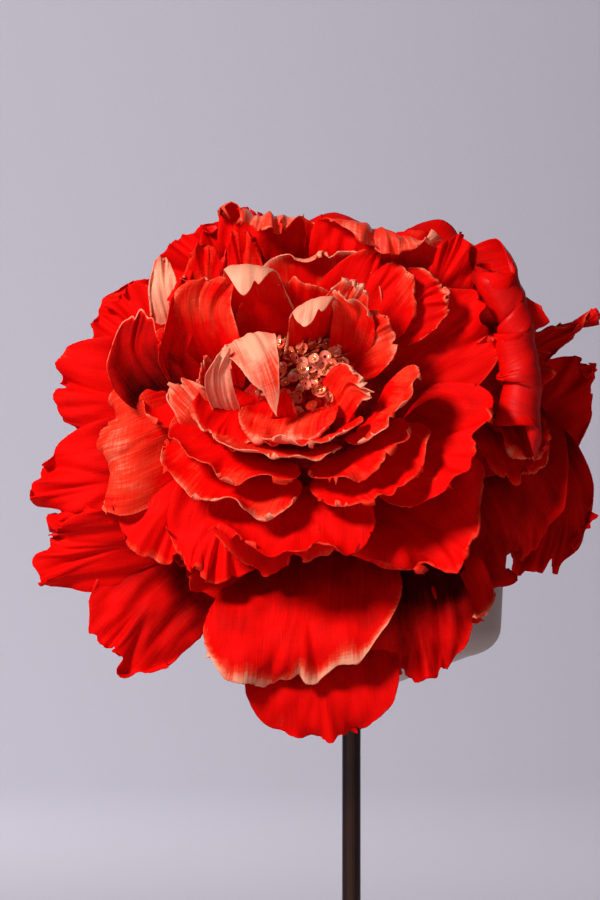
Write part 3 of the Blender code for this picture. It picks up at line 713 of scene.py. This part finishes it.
def rotated(v, axis, angle):
    """Vectors turned about unit axes, each by its own angle in radians."""
    c, s = np.cos(angle)[..., None], np.sin(angle)[..., None]
    dot = (v * axis).sum(-1, keepdims=True)
    return v * c + np.cross(axis, v) * s + axis * dot * (1 - c)


def bend_along(points, angle):
    """Bends the sheet from root to tip: row i's step is turned outwards by angle[i] radians."""
    across = unit(np.gradient(points, axis=1))
    steps = rotated(np.diff(points, axis=0), unit(across[1:] + across[:-1]), angle[1:])
    return np.concatenate([points[:1], points[:1] + np.cumsum(steps, axis=0)])


def bend_across(points, angle):
    """Bends the sheet from its middle column to each side: turned outwards by angle radians."""
    along = unit(np.gradient(points, axis=0))
    mid = points.shape[1] // 2
    out = points.copy()
    for side, turn in ((slice(mid, None), -1), (slice(mid, None, -1), 1)):
        part, lead, ang = points[:, side], along[:, side], angle[:, side]
        steps = rotated(np.diff(part, axis=1), unit(lead[:, 1:] + lead[:, :-1]), turn * ang[:, 1:])
        out[:, side] = np.concatenate(
            [part[:, :1], part[:, :1] + np.cumsum(steps, axis=1)], axis=1)
    return out


def noise_grid(u, v, seed):
    """Two octaves of smooth noise at the flat places (u, v), given in cells."""
    out = np.empty(u.shape)
    for i in np.ndindex(u.shape):
        out[i] = (noise.noise((u[i], v[i], seed))
                  + 0.5 * noise.noise((2.3 * u[i], 2.1 * v[i], seed + 7)))
    return out


def deckle(count, seed, rng, style):
    """How far a torn edge stands back, point by point: wide and narrow bites, loose threads."""
    slow = np.array([noise.noise((9 * t, seed, 3.0)) + 0.35 * noise.noise((26 * t, seed, 8.0))
                     for t in np.linspace(0, 1, count)])
    return MM * (style["deckle"] * np.clip(slow + 0.25, 0, None)
                 + style["fray"] * np.abs(rng.normal(size=count)))


# a petal's outline: the share of its length where it is widest, how much narrower its tip is and
# how roundly it gets there, and how wide the root of one that is cut from a shell is
FULL_WIDTH_AT, TIP_NARROWING, TIP_ROUNDING, SHELL_NECK = 0.72, 0.115, 1.6, 0.30
# the size of a crumple, a flute and a patch of dye, across and along, in metres
CRUMPLE, FLUTE, PATCH = (0.011, 0.022), (0.0065, 0.05), (0.016, 0.02)


def petal_surface(style, member, seed, rows, columns):
    """The petal's middle surface, (rows+1, columns+1, 3), its flat coordinates across and along
    in metres, and its shares a from root to tip and b from -1 to 1 across."""
    q, direction, half, share = member
    rng = np.random.default_rng(int(seed * 1000))
    a = (1 - (1 - np.linspace(0, 1, rows + 1)) ** 1.15)[:, None]
    b = np.linspace(-1, 1, columns + 1)[None, :]
    b = np.sign(b) * (1 - (1 - np.abs(b)) ** 1.1)
    tip = np.clip((a - FULL_WIDTH_AT) / (1 - FULL_WIDTH_AT), 0, 1)
    neck = style["neck"] if style["spine"] else SHELL_NECK
    rise = np.sin(np.minimum(a / FULL_WIDTH_AT, 1) * math.pi / 2)
    width = np.where(a < FULL_WIDTH_AT, neck + (1 - neck) * rise,
                     1 - TIP_NARROWING * tip ** TIP_ROUNDING)
    round_2, round_4 = style["round"]
    outline = 1 - round_2 * b * b - round_4 * b ** 4 - style["point"] * np.abs(b) ** 0.8
    scallop = (0.022 * np.sin(5.1 * b + seed) + 0.014 * np.sin(13 * b + rng.uniform(0, 6))
               - 0.05 * np.exp(-((b - rng.uniform(-0.6, 0.6)) / 0.07) ** 2))
    teeth = np.abs(((style["teeth"] * (b + 1) / 2 + seed) % 1) * 2 - 1)
    s = a * outline * (1 + (scallop - style["notch"] * teeth) * a)
    edge = np.maximum(smooth(0.45, 1, a), smooth(0.5, 1, np.abs(b)) * smooth(0.2, 0.6, a))
    round_edge = np.arctan2(1.15 * b, a - 0.45)
    if style["spine"]:
        turn, yaw = math.radians(style["across"]), math.radians(style["yaw"])
        side = np.array((math.cos(turn) * math.cos(yaw), -math.sin(yaw),
                         math.sin(turn) * math.cos(yaw)))
        knots = np.array(style["spine"], float)
        up = unit(knots[1] - knots[0])
        points = (along_spine(style["spine"], s)
                  + side * (b * width * style["wide"] * MM / 2)[..., None]
                  - up * (style["arch"] * MM * b * b * smooth(0, 0.5, a))[..., None])
    else:
        wave = 0.016 * a ** 1.6 * np.sin(4.2 * b + 2.3 * seed) * (0.4 + 0.6 * b * b)
        phi = np.radians(direction + half * b * width + 2.0 * np.sin(3 * a + seed) * (1 - b * b))
        flat = shell(q + wave, s * share)
        points = placed(warp(np.stack([flat[..., 0] * np.cos(phi), flat[..., 0] * np.sin(phi),
                                       flat[..., 1]], -1)))
    lengths = np.linalg.norm(np.diff(points, axis=0), axis=-1)
    along = np.concatenate([np.zeros((1, columns + 1)), np.cumsum(lengths, axis=0)])
    lead = unit(np.gradient(points, axis=0))[:, 1:]
    spans = np.diff(points, axis=1)
    spans = np.linalg.norm(spans - (spans * lead).sum(-1, keepdims=True) * lead, axis=-1)
    across = np.concatenate([np.zeros((rows + 1, 1)), np.cumsum(spans, axis=1)], axis=1)
    across = across - across[:, columns // 2:columns // 2 + 1]

    back = deckle(columns + 1, seed, rng, style)
    points[-1] -= unit(np.gradient(points, axis=0))[-1] * back[:, None]
    step_side = unit(np.gradient(points, axis=1))
    for column, inwards in ((-1, -1), (0, 1)):
        back = deckle(rows + 1, seed + 31 + column, rng, style) * a[:, 0]
        points[:, column] += inwards * step_side[:, column] * back[:, None]

    turn = np.zeros((rows + 1, columns + 1))
    loose = [(rng.uniform(-0.8, 0.8), rng.uniform(0.15, 0.3), rng.uniform(0.68, 0.82),
              style["loose"] * rng.uniform(-0.8, 1.1)) for k in range(3)]
    for centre, spread, start, degrees in style["curls"] or loose:
        reach = np.exp(-((b - centre) / spread) ** 2)
        turn += math.radians(degrees) * smooth(start, 1.0, a) * reach
    points = bend_along(points, turn)
    points = bend_across(points, smooth(0.15, 0.6, a) * (-math.radians(style["cup"]) * np.abs(b)))

    face = unit(np.cross(np.gradient(points, axis=0), np.gradient(points, axis=1)))
    phase = rng.uniform(0, math.tau, 5)
    n = style["waves"]
    ripple = (0.60 * np.sin(n * round_edge + phase[0])
              + 0.35 * np.sin((1.7 * n) * round_edge + phase[1])
              + 0.20 * np.sin((2.9 * n) * round_edge + phase[2]))
    ruffle = style["ruffle"] * bpy.context.scene.peony_sizes.ruffle * MM
    pleats = np.sin(11 * b + phase[3]) + 0.6 * np.sin(19 * b + phase[4])
    push = (ruffle * edge ** 1.5 * ripple
            + 0.6 * style["pleat"] * MM * pleats * np.sin(math.pi * a ** 0.7)
            + style["crumple"] * MM * noise_grid(across / CRUMPLE[0], along / CRUMPLE[1], seed)
            * smooth(0, 0.3, a)
            + style["flute"] * MM * noise_grid(across / FLUTE[0], along / FLUTE[1], seed + 3)
            * smooth(0, 0.2, a))
    return points + face * push[..., None], across, along, a, b


def cloth_object(name, grid, across, along, tones, mats, thickness):
    """A closed sheet from a grid of points: face and back half a thickness apart and a narrow cut
    edge. tones are the face's and the back's tone, point by point."""
    rows, columns = grid.shape[0] - 1, grid.shape[1] - 1
    face = unit(np.cross(np.gradient(grid, axis=0), np.gradient(grid, axis=1)))
    sides = np.concatenate([(grid + face * thickness / 2).reshape(-1, 3),
                            (grid - face * thickness / 2).reshape(-1, 3)])
    wide = columns + 1
    far = wide * (rows + 1)
    i, j = np.meshgrid(np.arange(rows), np.arange(columns), indexing="ij")
    corner = (i * wide + j).ravel()
    front = np.stack([corner, corner + wide, corner + wide + 1, corner + 1], 1)
    back = front[:, ::-1] + far
    loop = np.concatenate([np.arange(wide), np.arange(1, rows + 1) * wide + columns,
                           rows * wide + np.arange(columns - 1, -1, -1),
                           np.arange(rows - 1, 0, -1) * wide])
    after = np.roll(loop, -1)
    faces = np.concatenate([front, back, np.stack([loop, after, after + far, loop + far], 1)])
    mesh = bpy.data.meshes.new(name)
    mesh.from_pydata(sides.tolist(), [], faces.tolist())
    for mat in mats:
        mesh.materials.append(mat)
    kinds = np.concatenate([np.zeros(len(front)), np.ones(len(back)), np.full(len(loop), 0)])
    mesh.polygons.foreach_set("material_index", kinds.astype(np.int32))
    mesh.shade_smooth()
    uv = mesh.uv_layers.new(name="cloth")
    places = np.tile(np.stack([across.ravel(), along.ravel()], 1), (2, 1))
    uv.data.foreach_set("uv", places[faces.ravel()].ravel().astype(np.float32))
    tone = mesh.attributes.new("tone", "FLOAT", "POINT")
    tone.data.foreach_set("value", np.concatenate([t.ravel() for t in tones]).astype(np.float32))
    mesh.update()
    obj = bpy.data.objects.new(name, mesh)
    bpy.context.scene.collection.objects.link(obj)
    return obj


def petal(name, style, member, seed, mats, rows, columns):
    """Its flat size is its own before it is curled."""
    grid, across, along, a, b = petal_surface(style, member, seed, rows, columns)
    from_tip = along[-1][None, :] - along
    from_side = np.minimum(across - across[:, :1], across[:, -1:] - across) + (1 - a) * 0.03
    near_edge = 1 - smooth(0, style["rim_wide"] * MM, np.minimum(from_tip, from_side))
    cloud = noise_grid(across / PATCH[0], along / PATCH[1], seed + 40)
    # painted shade: the root's tone darkens the face towards the root, where the folds lie in shade
    low = style["base"] * (1 - smooth(0.1, 0.75, a))
    # the face's tone: its own, the root's painted shade, a rim that is partly faded edge and partly
    # painted highlight, and uneven dye
    face = style["pale"] + low + (style["rim"] - style["pale"]) * near_edge ** 2 + 0.28 * cloud
    # the back's tone: the satin's own paleness, partly painted highlight on lit backs and painted
    # shade on dark ones, with half the root's painted shade and uneven dye
    back = style["back"] + 0.5 * low + 0.2 * cloud
    thickness = bpy.context.scene.peony_sizes.cloth
    obj = cloth_object(name + "_silk", grid, across, along, (face, back), mats, thickness)
    finish_piece(obj, "red silk", [name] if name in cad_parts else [])


# ---------------------------------------------------------------------------------- the operators

class PEONY_OT_petals(bpy.types.Operator):
    """Cut, shape and gather all the silk petals"""
    bl_idname = "peony.petals"
    bl_label = "Petals"

    def execute(self, context):
        mats = (silk("matte silk face", 0.7, 0.05, 0.6),
                silk("satin silk back", 0.48, 0.16, 0.5))
        rows, columns = ((44, 76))
        count = {}
        for ring, (kind, q, members) in enumerate(RINGS):
            for k, member in enumerate(members):
                count[kind] = count.get(kind, 0) + 1
                name = f"{kind}_{count[kind]:02d}"
                style = {**PLAIN, **KINDS[kind], **STYLES.get(name, {})}
                petal(name, style, (q, *member), 1.7 * ring + 2.9 * k, mats, rows, columns)
        for k, (kind, name, own) in enumerate(FILLERS):
            petal(name, {**PLAIN, **KINDS[kind], **own}, own.get("shell", (0, 0, 0, 0)),
                  20 + 2.3 * k, mats, rows, columns)
        return {"FINISHED"}


def form_point(angle):
    """Radius and height of the form's side at an angle in degrees from its axis."""
    turn = math.radians(angle)
    return (FORM_RADIUS * math.sin(turn) ** FORM_SQUARENESS,
            FORM_HEIGHT * math.cos(turn) ** FORM_SQUARENESS)


class PEONY_OT_form(bpy.types.Operator):
    """Pad and cover the form that carries the petals, and sew on its backing"""
    bl_idname = "peony.form"
    bl_label = "Form and Backing"

    def execute(self, context):
        cloth = cotton("red cotton over wadding")
        profile = [(0.6 * FORM_RADIUS, 1.2 * MM), (0.97 * FORM_RADIUS, 1.2 * MM)]
        profile += [form_point(angle) for angle in range(87, int(FORM_TOP_ANGLE) - 1, -4)]
        top = form_point(FORM_TOP_ANGLE)
        profile += [(top[0] * share, top[1] + 0.6 * MM) for share in (0.85, 0.5, 0.2)]
        form = turned("padded_form", profile, 64, smooth_angle=80)
        for vertex in form.data.vertices:
            p = vertex.co
            angle = math.atan2(p.y, p.x)
            vertex.co = p * (1 - 0.006 * (1 + math.sin(13 * angle + 60 * p.z)))
        form.data.transform(HEAD)
        finish_piece(form, "red silk", ["flower_form"], cloth)

        teeth, rings = 44, 12
        radius, thickness = FORM_RADIUS - 0.5 * MM, 0.8 * MM
        turn = np.linspace(0, math.tau, teeth * 4 + 1)[None, :]
        out = np.linspace(0.075, 1, rings + 1)[:, None]
        pinked = radius * (1 - 0.028 * np.abs(((turn * teeth / math.tau) % 1) * 2 - 1)) * out
        dished = -1.4 * MM + 0.5 * MM * np.sin(9 * turn) * out ** 3 * (1 - out) * 3
        grid = placed(np.stack([pinked * np.cos(-turn), pinked * np.sin(-turn),
                                dished * np.ones_like(pinked)], -1))
        plain = np.full(grid.shape[:2], -0.15)
        disc = cloth_object("pinked_backing", grid, out * radius * np.sin(turn),
                            out * radius * np.cos(turn), (plain, plain),
                            [bpy.data.materials["matte silk face"]] * 2, thickness)
        finish_piece(disc, "red silk", ["backing"])
        return {"FINISHED"}


# the heap of sequins: how wide it is, how high its middle is, and how far it falls to its rim
HEART_RADIUS, HEART_HEIGHT, HEART_FALL = 23.5 * MM, 13 * MM, 9.5 * MM


class PEONY_OT_heart(bpy.types.Operator):
    """Sew the sequins and seed beads to the top of the form"""
    bl_idname = "peony.heart"
    bl_label = "Sequins and Beads"

    def execute(self, context):
        sizes = context.scene.peony_sizes
        film, gold = sequin_film("clear dyed sequin film"), gilt("gilt foil and beads")
        cotton_cover = bpy.data.materials["red cotton over wadding"]
        top = form_point(FORM_TOP_ANGLE)
        low = top[1] + 0.9 * MM
        pad = turned("sequin_pad", [(19 * MM, low), (19.5 * MM, low + 1.2 * MM),
                                    (17 * MM, low + 3.2 * MM), (12 * MM, low + 4.8 * MM),
                                    (6 * MM, low + 5.6 * MM)], 40, smooth_angle=80)
        pad.data.transform(HEAD)
        finish_piece(pad, "red silk", [], cotton_cover)

        r = sizes.sequin / 2
        sequin = turned("sequin", [(0.20 * r, 0.02 * r), (0.30 * r, 0), (0.62 * r, 0.06 * r),
                                   (0.92 * r, 0.30 * r), (r, 0.36 * r), (r, 0.40 * r),
                                   (0.92 * r, 0.35 * r), (0.62 * r, 0.11 * r), (0.30 * r, 0.05 * r),
                                   (0.20 * r, 0.06 * r), (0.20 * r, 0.02 * r)], 10, loop=True,
                        smooth_angle=60)
        sequin.data.materials.append(film)
        sequin.data.materials.append(gold)
        for face in sequin.data.polygons:
            reach = math.hypot(face.center.x, face.center.y) / r
            face.material_index = 1 if reach > 0.80 or reach < 0.26 else 0
        bead = turned("bead", [(0.15 * sizes.bead, -0.40 * sizes.bead),
                               (0.42 * sizes.bead, -0.28 * sizes.bead),
                               (0.5 * sizes.bead, 0), (0.42 * sizes.bead, 0.28 * sizes.bead),
                               (0.15 * sizes.bead, 0.40 * sizes.bead)], 8, smooth_angle=80)
        bead.data.materials.append(gold)

        rng = np.random.default_rng(11)
        golden = math.pi * (3 - math.sqrt(5))
        sequins, beads = [], []
        for k in range(sizes.sequins):
            reach = math.sqrt((k + 0.5) / sizes.sequins)
            turn = k * golden + rng.uniform(-0.2, 0.2)
            radius = HEART_RADIUS * reach
            height = (low + HEART_HEIGHT - HEART_FALL * reach ** 2
                      + rng.uniform(-1.2, 2.2) * MM)
            lean = Matrix.Rotation(rng.uniform(-1.25, 1.25), 4, "X")
            tip = Matrix.Rotation(rng.uniform(-0.3, 1.35) * (0.5 + reach), 4, "Y")
            spot = (radius * math.cos(turn), radius * math.sin(turn), height)
            place = (HEAD @ Matrix.Translation(spot) @ Matrix.Rotation(turn, 4, "Z")
                     @ tip @ lean)
            sequins.append(place)
            if k % 2 == 0:
                beads.append(place @ Matrix.Translation((0, 0, 0.35 * sizes.bead)))
        for first, places, name in ((sequin, sequins, "cup_sequins"), (bead, beads, "seed_beads")):
            start_clean()
            for place in places:
                copy = first.copy()
                copy.data = first.data.copy()
                copy.data.transform(place)
                context.scene.collection.objects.link(copy)
                copy.select_set(True)
                context.view_layer.objects.active = copy
            bpy.ops.object.join()
            context.object.name = name
            finish_piece(context.object, "sequins and beads", ["sequin_heart"])
            bpy.data.objects.remove(first)
        return {"FINISHED"}


def cup_line(inset, wall_base):
    """The cup's outer side from the flat of its underside to the wall's foot, moved in by inset:
    a shallow cone and a round corner."""
    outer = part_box("cup")[1][0]
    corner = CUP_CORNER - inset
    low = outer - inset - CUP_FLARE
    reach = low - corner
    cone = outer - CUP_FLARE - CUP_CORNER - CUP_FLAT_RADIUS
    start = (reach, CUP_BOTTOM + CUP_RISE * (reach - CUP_FLAT_RADIUS) / cone + inset)
    end, bend = (low, start[1] + corner), (low, start[1] + CUP_CORNER_PULL * corner)
    curve = [tuple((1 - t) ** 2 * p + 2 * t * (1 - t) * m + t * t * n
                   for p, m, n in zip(start, bend, end)) for t in (k / 12 for k in range(13))]
    return [(CUP_FLAT_RADIUS, CUP_BOTTOM + wall_base)] + curve


class PEONY_OT_cup(bpy.types.Operator):
    """Mould the frosted cup, with its rolled lip and the screw hole in its floor"""
    bl_idname = "peony.cup"
    bl_label = "Cup"

    def execute(self, context):
        wall = context.scene.peony_sizes.cup_wall
        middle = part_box("cup")[1][0] - wall / 2
        lip = [(middle + wall / 2 * math.cos(t), LIP - wall / 2 + wall / 2 * math.sin(t))
               for t in (math.pi * k / 8 for k in range(9))]
        outer = cup_line(0, 0)
        inner = [(r, z + CUP_FLOOR - wall) for r, z in reversed(cup_line(wall, wall))]
        profile = [(SCREW_BORE, CUP_BOTTOM)] + outer + lip + inner
        profile += [(SCREW_BORE, CUP_BOTTOM + CUP_FLOOR), (SCREW_BORE, CUP_BOTTOM)]
        cup = turned("frosted_cup", profile, 128, loop=True)
        finish_piece(cup, "greige cup", ["cup"], frosted_acrylic("frosted greige acrylic"))
        return {"FINISHED"}


class PEONY_OT_rod(bpy.types.Operator):
    """Turn the rod with its brazed flange and fillet"""
    bl_idname = "peony.rod"
    bl_label = "Rod"

    def execute(self, context):
        low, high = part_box("rod")
        under = high[2] - FLANGE_THICKNESS
        profile = [(SCREW_BORE, low[2] + ROD_BORE_DEPTH), (SCREW_BORE, low[2]),
                   (ROD_RADIUS, low[2]), (ROD_RADIUS, under), (high[0], under),
                   (high[0], high[2]), (SCREW_BORE, high[2]),
                   (SCREW_BORE, high[2] - ROD_BORE_DEPTH)]
        profile = rounded(rounded(rounded(profile, 5, 0.6 * MM), 4, 0.6 * MM), 3, 1.6 * MM)
        profile = rounded(profile, 2, 0.5 * MM)
        rod = turned("bronzed_rod", profile, 64)
        finish_piece(rod, "bronzed steel", ["rod"],
                     bronzed_steel("bronzed steel drawn lengthways", (700, 700, 9)))
        return {"FINISHED"}


class PEONY_OT_foot(bpy.types.Operator):
    """Turn the weighted foot, and cut the felt for its underside"""
    bl_idname = "peony.foot"
    bl_label = "Foot and Felt"

    def execute(self, context):
        low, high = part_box("foot")
        radius, head, sink = high[0], SCREW_HEAD_RADIUS, low[2] + SCREW_HEAD_SINK
        profile = [(head, low[2]), (radius, low[2]), (radius, high[2]), (SCREW_BORE, high[2]),
                   (SCREW_BORE, sink), (head, sink), (head, low[2])]
        profile = rounded(rounded(profile, 2, 2.4 * MM, 6), 1, 0.8 * MM)
        foot = turned("turned_foot", profile, 144, loop=True)
        finish_piece(foot, "bronzed steel", ["foot"],
                     bronzed_steel("bronzed steel ground flat", (160, 160, 400)))
        pad_low, pad_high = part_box("felt_pad")
        pad = pad_high[0]
        profile = [(pad * 0.3, pad_low[2]), (pad, pad_low[2]), (pad, pad_high[2]),
                   (pad * 0.3, pad_high[2])]
        felt = turned("felt_disc", rounded(profile, 1, 0.4 * MM), 120)
        tone = context.scene.peony_colours.felt
        finish_piece(felt, "felt", ["felt_pad"],
                     fibrous("pressed wool felt", tone, 2.2, (900, 900, 900), 0.5 * MM, 0.3))
        return {"FINISHED"}


class PEONY_OT_foam(bpy.types.Operator):
    """Cut the foam block that holds the stem in the cup"""
    bl_idname = "peony.foam"
    bl_label = "Foam"

    def execute(self, context):
        low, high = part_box("foam")
        side = [(r, z + 1 * MM) for r, z in cup_line(3.3 * MM, 3.3 * MM)]
        relief = 8 * MM
        profile = [(relief * 0.5, low[2] + 6.5 * MM), (relief, low[2] + 6.5 * MM), (relief, low[2])]
        profile += side + [(side[-1][0], high[2]), (side[-1][0] * 0.5, high[2] - 0.2 * MM),
                           (2 * MM, high[2] - 0.3 * MM)]
        profile = rounded(profile, len(profile) - 3, 1.5 * MM)
        foam = turned("flower_foam", profile, 96)
        tone = context.scene.peony_colours.foam
        finish_piece(foam, "foam", ["foam"],
                     fibrous("cut phenolic flower foam", tone, 1.6, (650, 650, 650), 1.0 * MM, 0.0))
        return {"FINISHED"}


class PEONY_OT_stem(bpy.types.Operator):
    """Bend the wire stem and wind paper tape round it"""
    bl_idname = "peony.stem"
    bl_label = "Wrapped Stem"

    def execute(self, context):
        axis = (HEAD.to_3x3() @ Vector((0, 0, 1))).normalized()
        leave = HEAD @ Vector((0, 0, -7.6 * MM))
        bend = STEM_PLACE + Vector((0, 0, CUP_BOTTOM + 48 * MM))
        low = STEM_PLACE + Vector((0, 0, CUP_BOTTOM + 18 * MM))
        reach = (leave - bend).length * 0.45
        knots = [HEAD @ Vector((0, 0, 20 * MM)), leave]
        for k in range(1, 9):
            t = k / 8
            knots.append(leave * (1 - t) ** 3 + (leave - axis * reach) * 3 * t * (1 - t) ** 2
                         + (bend + Vector((0, 0, reach))) * 3 * t * t * (1 - t) + bend * t ** 3)
        knots.append(low)
        steps, around = 150, 20
        t = np.linspace(0, 1, steps)
        line = along_spine([tuple(p / MM) for p in knots], t)
        total = float(np.linalg.norm(np.diff(line, axis=0), axis=1).sum())
        tangent = unit(np.gradient(line, axis=0))
        first = unit(np.cross(tangent, np.array((1.0, 0.0, 0.0))))
        second = np.cross(tangent, first)
        turn = np.linspace(0, math.tau, around, endpoint=False)[None, :]
        climb = (t[:, None] * total / context.scene.peony_sizes.tape + turn / math.tau) % 1
        radius = (2.7 + 0.3 * climb) * MM
        points = (line[:, None] + radius[..., None] * (np.cos(turn)[..., None] * first[:, None]
                                                       + np.sin(turn)[..., None] * second[:, None]))
        faces = [(i * around + j, i * around + (j + 1) % around,
                  (i + 1) * around + (j + 1) % around, (i + 1) * around + j)
                 for i in range(steps - 1) for j in range(around)]
        last = (steps - 1) * around
        faces += [tuple(range(around - 1, -1, -1)), tuple(range(last, last + around))]
        mesh = bpy.data.meshes.new("taped_stem")
        mesh.from_pydata(points.reshape(-1, 3).tolist(), [], faces)
        stem = bpy.data.objects.new("taped_stem", mesh)
        context.scene.collection.objects.link(stem)
        start_clean()
        stem.select_set(True)
        context.view_layer.objects.active = stem
        bpy.ops.object.mode_set(mode="EDIT")
        bpy.ops.mesh.select_all(action="SELECT")
        bpy.ops.mesh.normals_make_consistent(inside=False)
        bpy.ops.object.mode_set(mode="OBJECT")
        bpy.ops.object.shade_smooth_by_angle(angle=math.radians(50))
        tone = context.scene.peony_colours.tape
        finish_piece(stem, "stem wrap", ["stem"],
                     fibrous("wound crepe paper tape", tone, 1.7, (300, 300, 1200), 0.3 * MM, 0.1))
        return {"FINISHED"}


class PEONY_OT_screws(bpy.types.Operator):
    """Plate the two screws, which keep the frame's own shape"""
    bl_idname = "peony.screws"
    bl_label = "Screws"

    def execute(self, context):
        zinc = zinc_steel("zinc-plated steel")
        for name in ("foot_screw", "cup_screw"):
            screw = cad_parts[name].data
            screw.materials.clear()
            screw.materials.append(zinc)
        return {"FINISHED"}


# the studio, in metres: the paper's middle and half size in plan, how high it runs up behind, and
# how far its corner is rounded each way; then the camera, which is level with the flower, and its
# lens in mm
SWEEP_MIDDLE, SWEEP_HALF, SWEEP_HEIGHT, SWEEP_ROUND = -0.9, (7, 6.1), 6, 1.8
CAMERA_PLACE, CAMERA_LENS = (-26.25 * MM, -2.30, 428.5 * MM), 180


def select_edges(obj, wanted):
    """Selects the edges whose two ends are both wanted, and goes into edit mode."""
    bpy.ops.object.mode_set(mode="EDIT")
    bpy.ops.mesh.select_mode(type="EDGE")
    bpy.ops.mesh.select_all(action="DESELECT")
    bpy.ops.object.mode_set(mode="OBJECT")
    for edge in obj.data.edges:
        edge.select = all(wanted(obj.data.vertices[k].co) for k in edge.vertices)
    bpy.ops.object.mode_set(mode="EDIT")


def area_light(name, place, target, size, power, tint):
    """A round area light that points at its target."""
    data = bpy.data.lights.new(name, "AREA")
    data.shape = "DISK"
    data.size, data.energy = size, power
    data.color = to_linear(tint)[:3]
    obj = bpy.data.objects.new(name, data)
    obj.location = place
    obj.rotation_euler = (Vector(target) - Vector(place)).to_track_quat("-Z", "Y").to_euler()
    bpy.context.scene.collection.objects.link(obj)


class PEONY_OT_stage(bpy.types.Operator):
    """Set up the paper backdrop, the lights and the camera"""
    bl_idname = "peony.stage"
    bl_label = "Stage"

    def execute(self, context):
        scene = context.scene
        scene.view_settings.view_transform = "Standard"
        start_clean()
        bpy.ops.mesh.primitive_plane_add(size=2, location=(0, SWEEP_MIDDLE, -0.2 * MM))
        sweep = context.object
        sweep.name = "paper_sweep"
        bpy.ops.transform.resize(value=(*SWEEP_HALF, 1))
        bpy.ops.object.transform_apply(location=True, rotation=True, scale=True)
        far = SWEEP_MIDDLE + SWEEP_HALF[1] - 0.2
        select_edges(sweep, lambda p: p.y > far)
        bpy.ops.mesh.extrude_region_move(TRANSFORM_OT_translate={"value": (0, 0, SWEEP_HEIGHT)})
        select_edges(sweep, lambda p: p.y > far and p.z < 1)
        bpy.ops.mesh.bevel(offset=SWEEP_ROUND, segments=32)
        bpy.ops.object.mode_set(mode="OBJECT")
        bpy.ops.object.shade_smooth()
        sweep.data.materials.append(backdrop_paper("pale lavender-grey paper",
                                                   scene.peony_colours.paper))
        world = bpy.data.worlds.new("studio")
        world.use_nodes = True
        background = world.node_tree.nodes["Background"]
        background.inputs["Color"].default_value = to_linear("#cfccd8")
        background.inputs["Strength"].default_value = 0.12
        scene.world = world
        middle = (-0.02, -0.05, 0.43)
        # name, place and target in metres, width, watts, colour
        for light in (("key", (-0.85, -1.15, 1.25), middle, 0.34, 31, "#fff6f0"),
                      ("fill", (0.9, -1.9, 0.7), middle, 1.2, 1.5, "#ffffff"),
                      ("backdrop_glow", (-1.3, 2.2, 2.1), (0.3, 5.2, 0.0), 0.9, 60, "#fbf7ff"),
                      ("back_fill", (0.9, 2.0, 1.3), middle, 0.8, 2.5, "#ffffff")):
            area_light(*light)
        camera = bpy.data.objects.new("camera", bpy.data.cameras.new("camera"))
        camera.data.lens = CAMERA_LENS
        camera.location = CAMERA_PLACE
        camera.rotation_euler = (math.pi / 2, 0, 0)
        scene.collection.objects.link(camera)
        scene.camera = camera
        return {"FINISHED"}


OPERATORS = (PEONY_OT_petals, PEONY_OT_form, PEONY_OT_heart, PEONY_OT_cup, PEONY_OT_rod,
             PEONY_OT_foot, PEONY_OT_foam, PEONY_OT_stem, PEONY_OT_screws, PEONY_OT_stage)


class PEONY_PT_panel(bpy.types.Panel):
    bl_idname = "PEONY_PT_panel"
    bl_label = "Silk Peony"
    bl_space_type = "VIEW_3D"
    bl_region_type = "UI"
    bl_category = "Peony"

    def draw(self, context):
        for title, group in (("Sizes", context.scene.peony_sizes),
                             ("Colours", context.scene.peony_colours)):
            box = self.layout.box()
            box.label(text=title)
            for key in group.__annotations__:
                box.prop(group, key)
        for operator in OPERATORS:
            self.layout.operator(operator.bl_idname)


CLASSES = (PeonySizes, PeonyColours, *OPERATORS, PEONY_PT_panel)


def register():
    for cls in CLASSES:
        bpy.utils.register_class(cls)
    bpy.types.Scene.peony_sizes = PointerProperty(type=PeonySizes)
    bpy.types.Scene.peony_colours = PointerProperty(type=PeonyColours)


def unregister():
    del bpy.types.Scene.peony_colours
    del bpy.types.Scene.peony_sizes
    for cls in reversed(CLASSES):
        bpy.utils.unregister_class(cls)


def main():
    register()
    for operator in OPERATORS:
        group, name = operator.bl_idname.split(".")
        getattr(getattr(bpy.ops, group), name)()


if __name__ == "__main__":
    main()
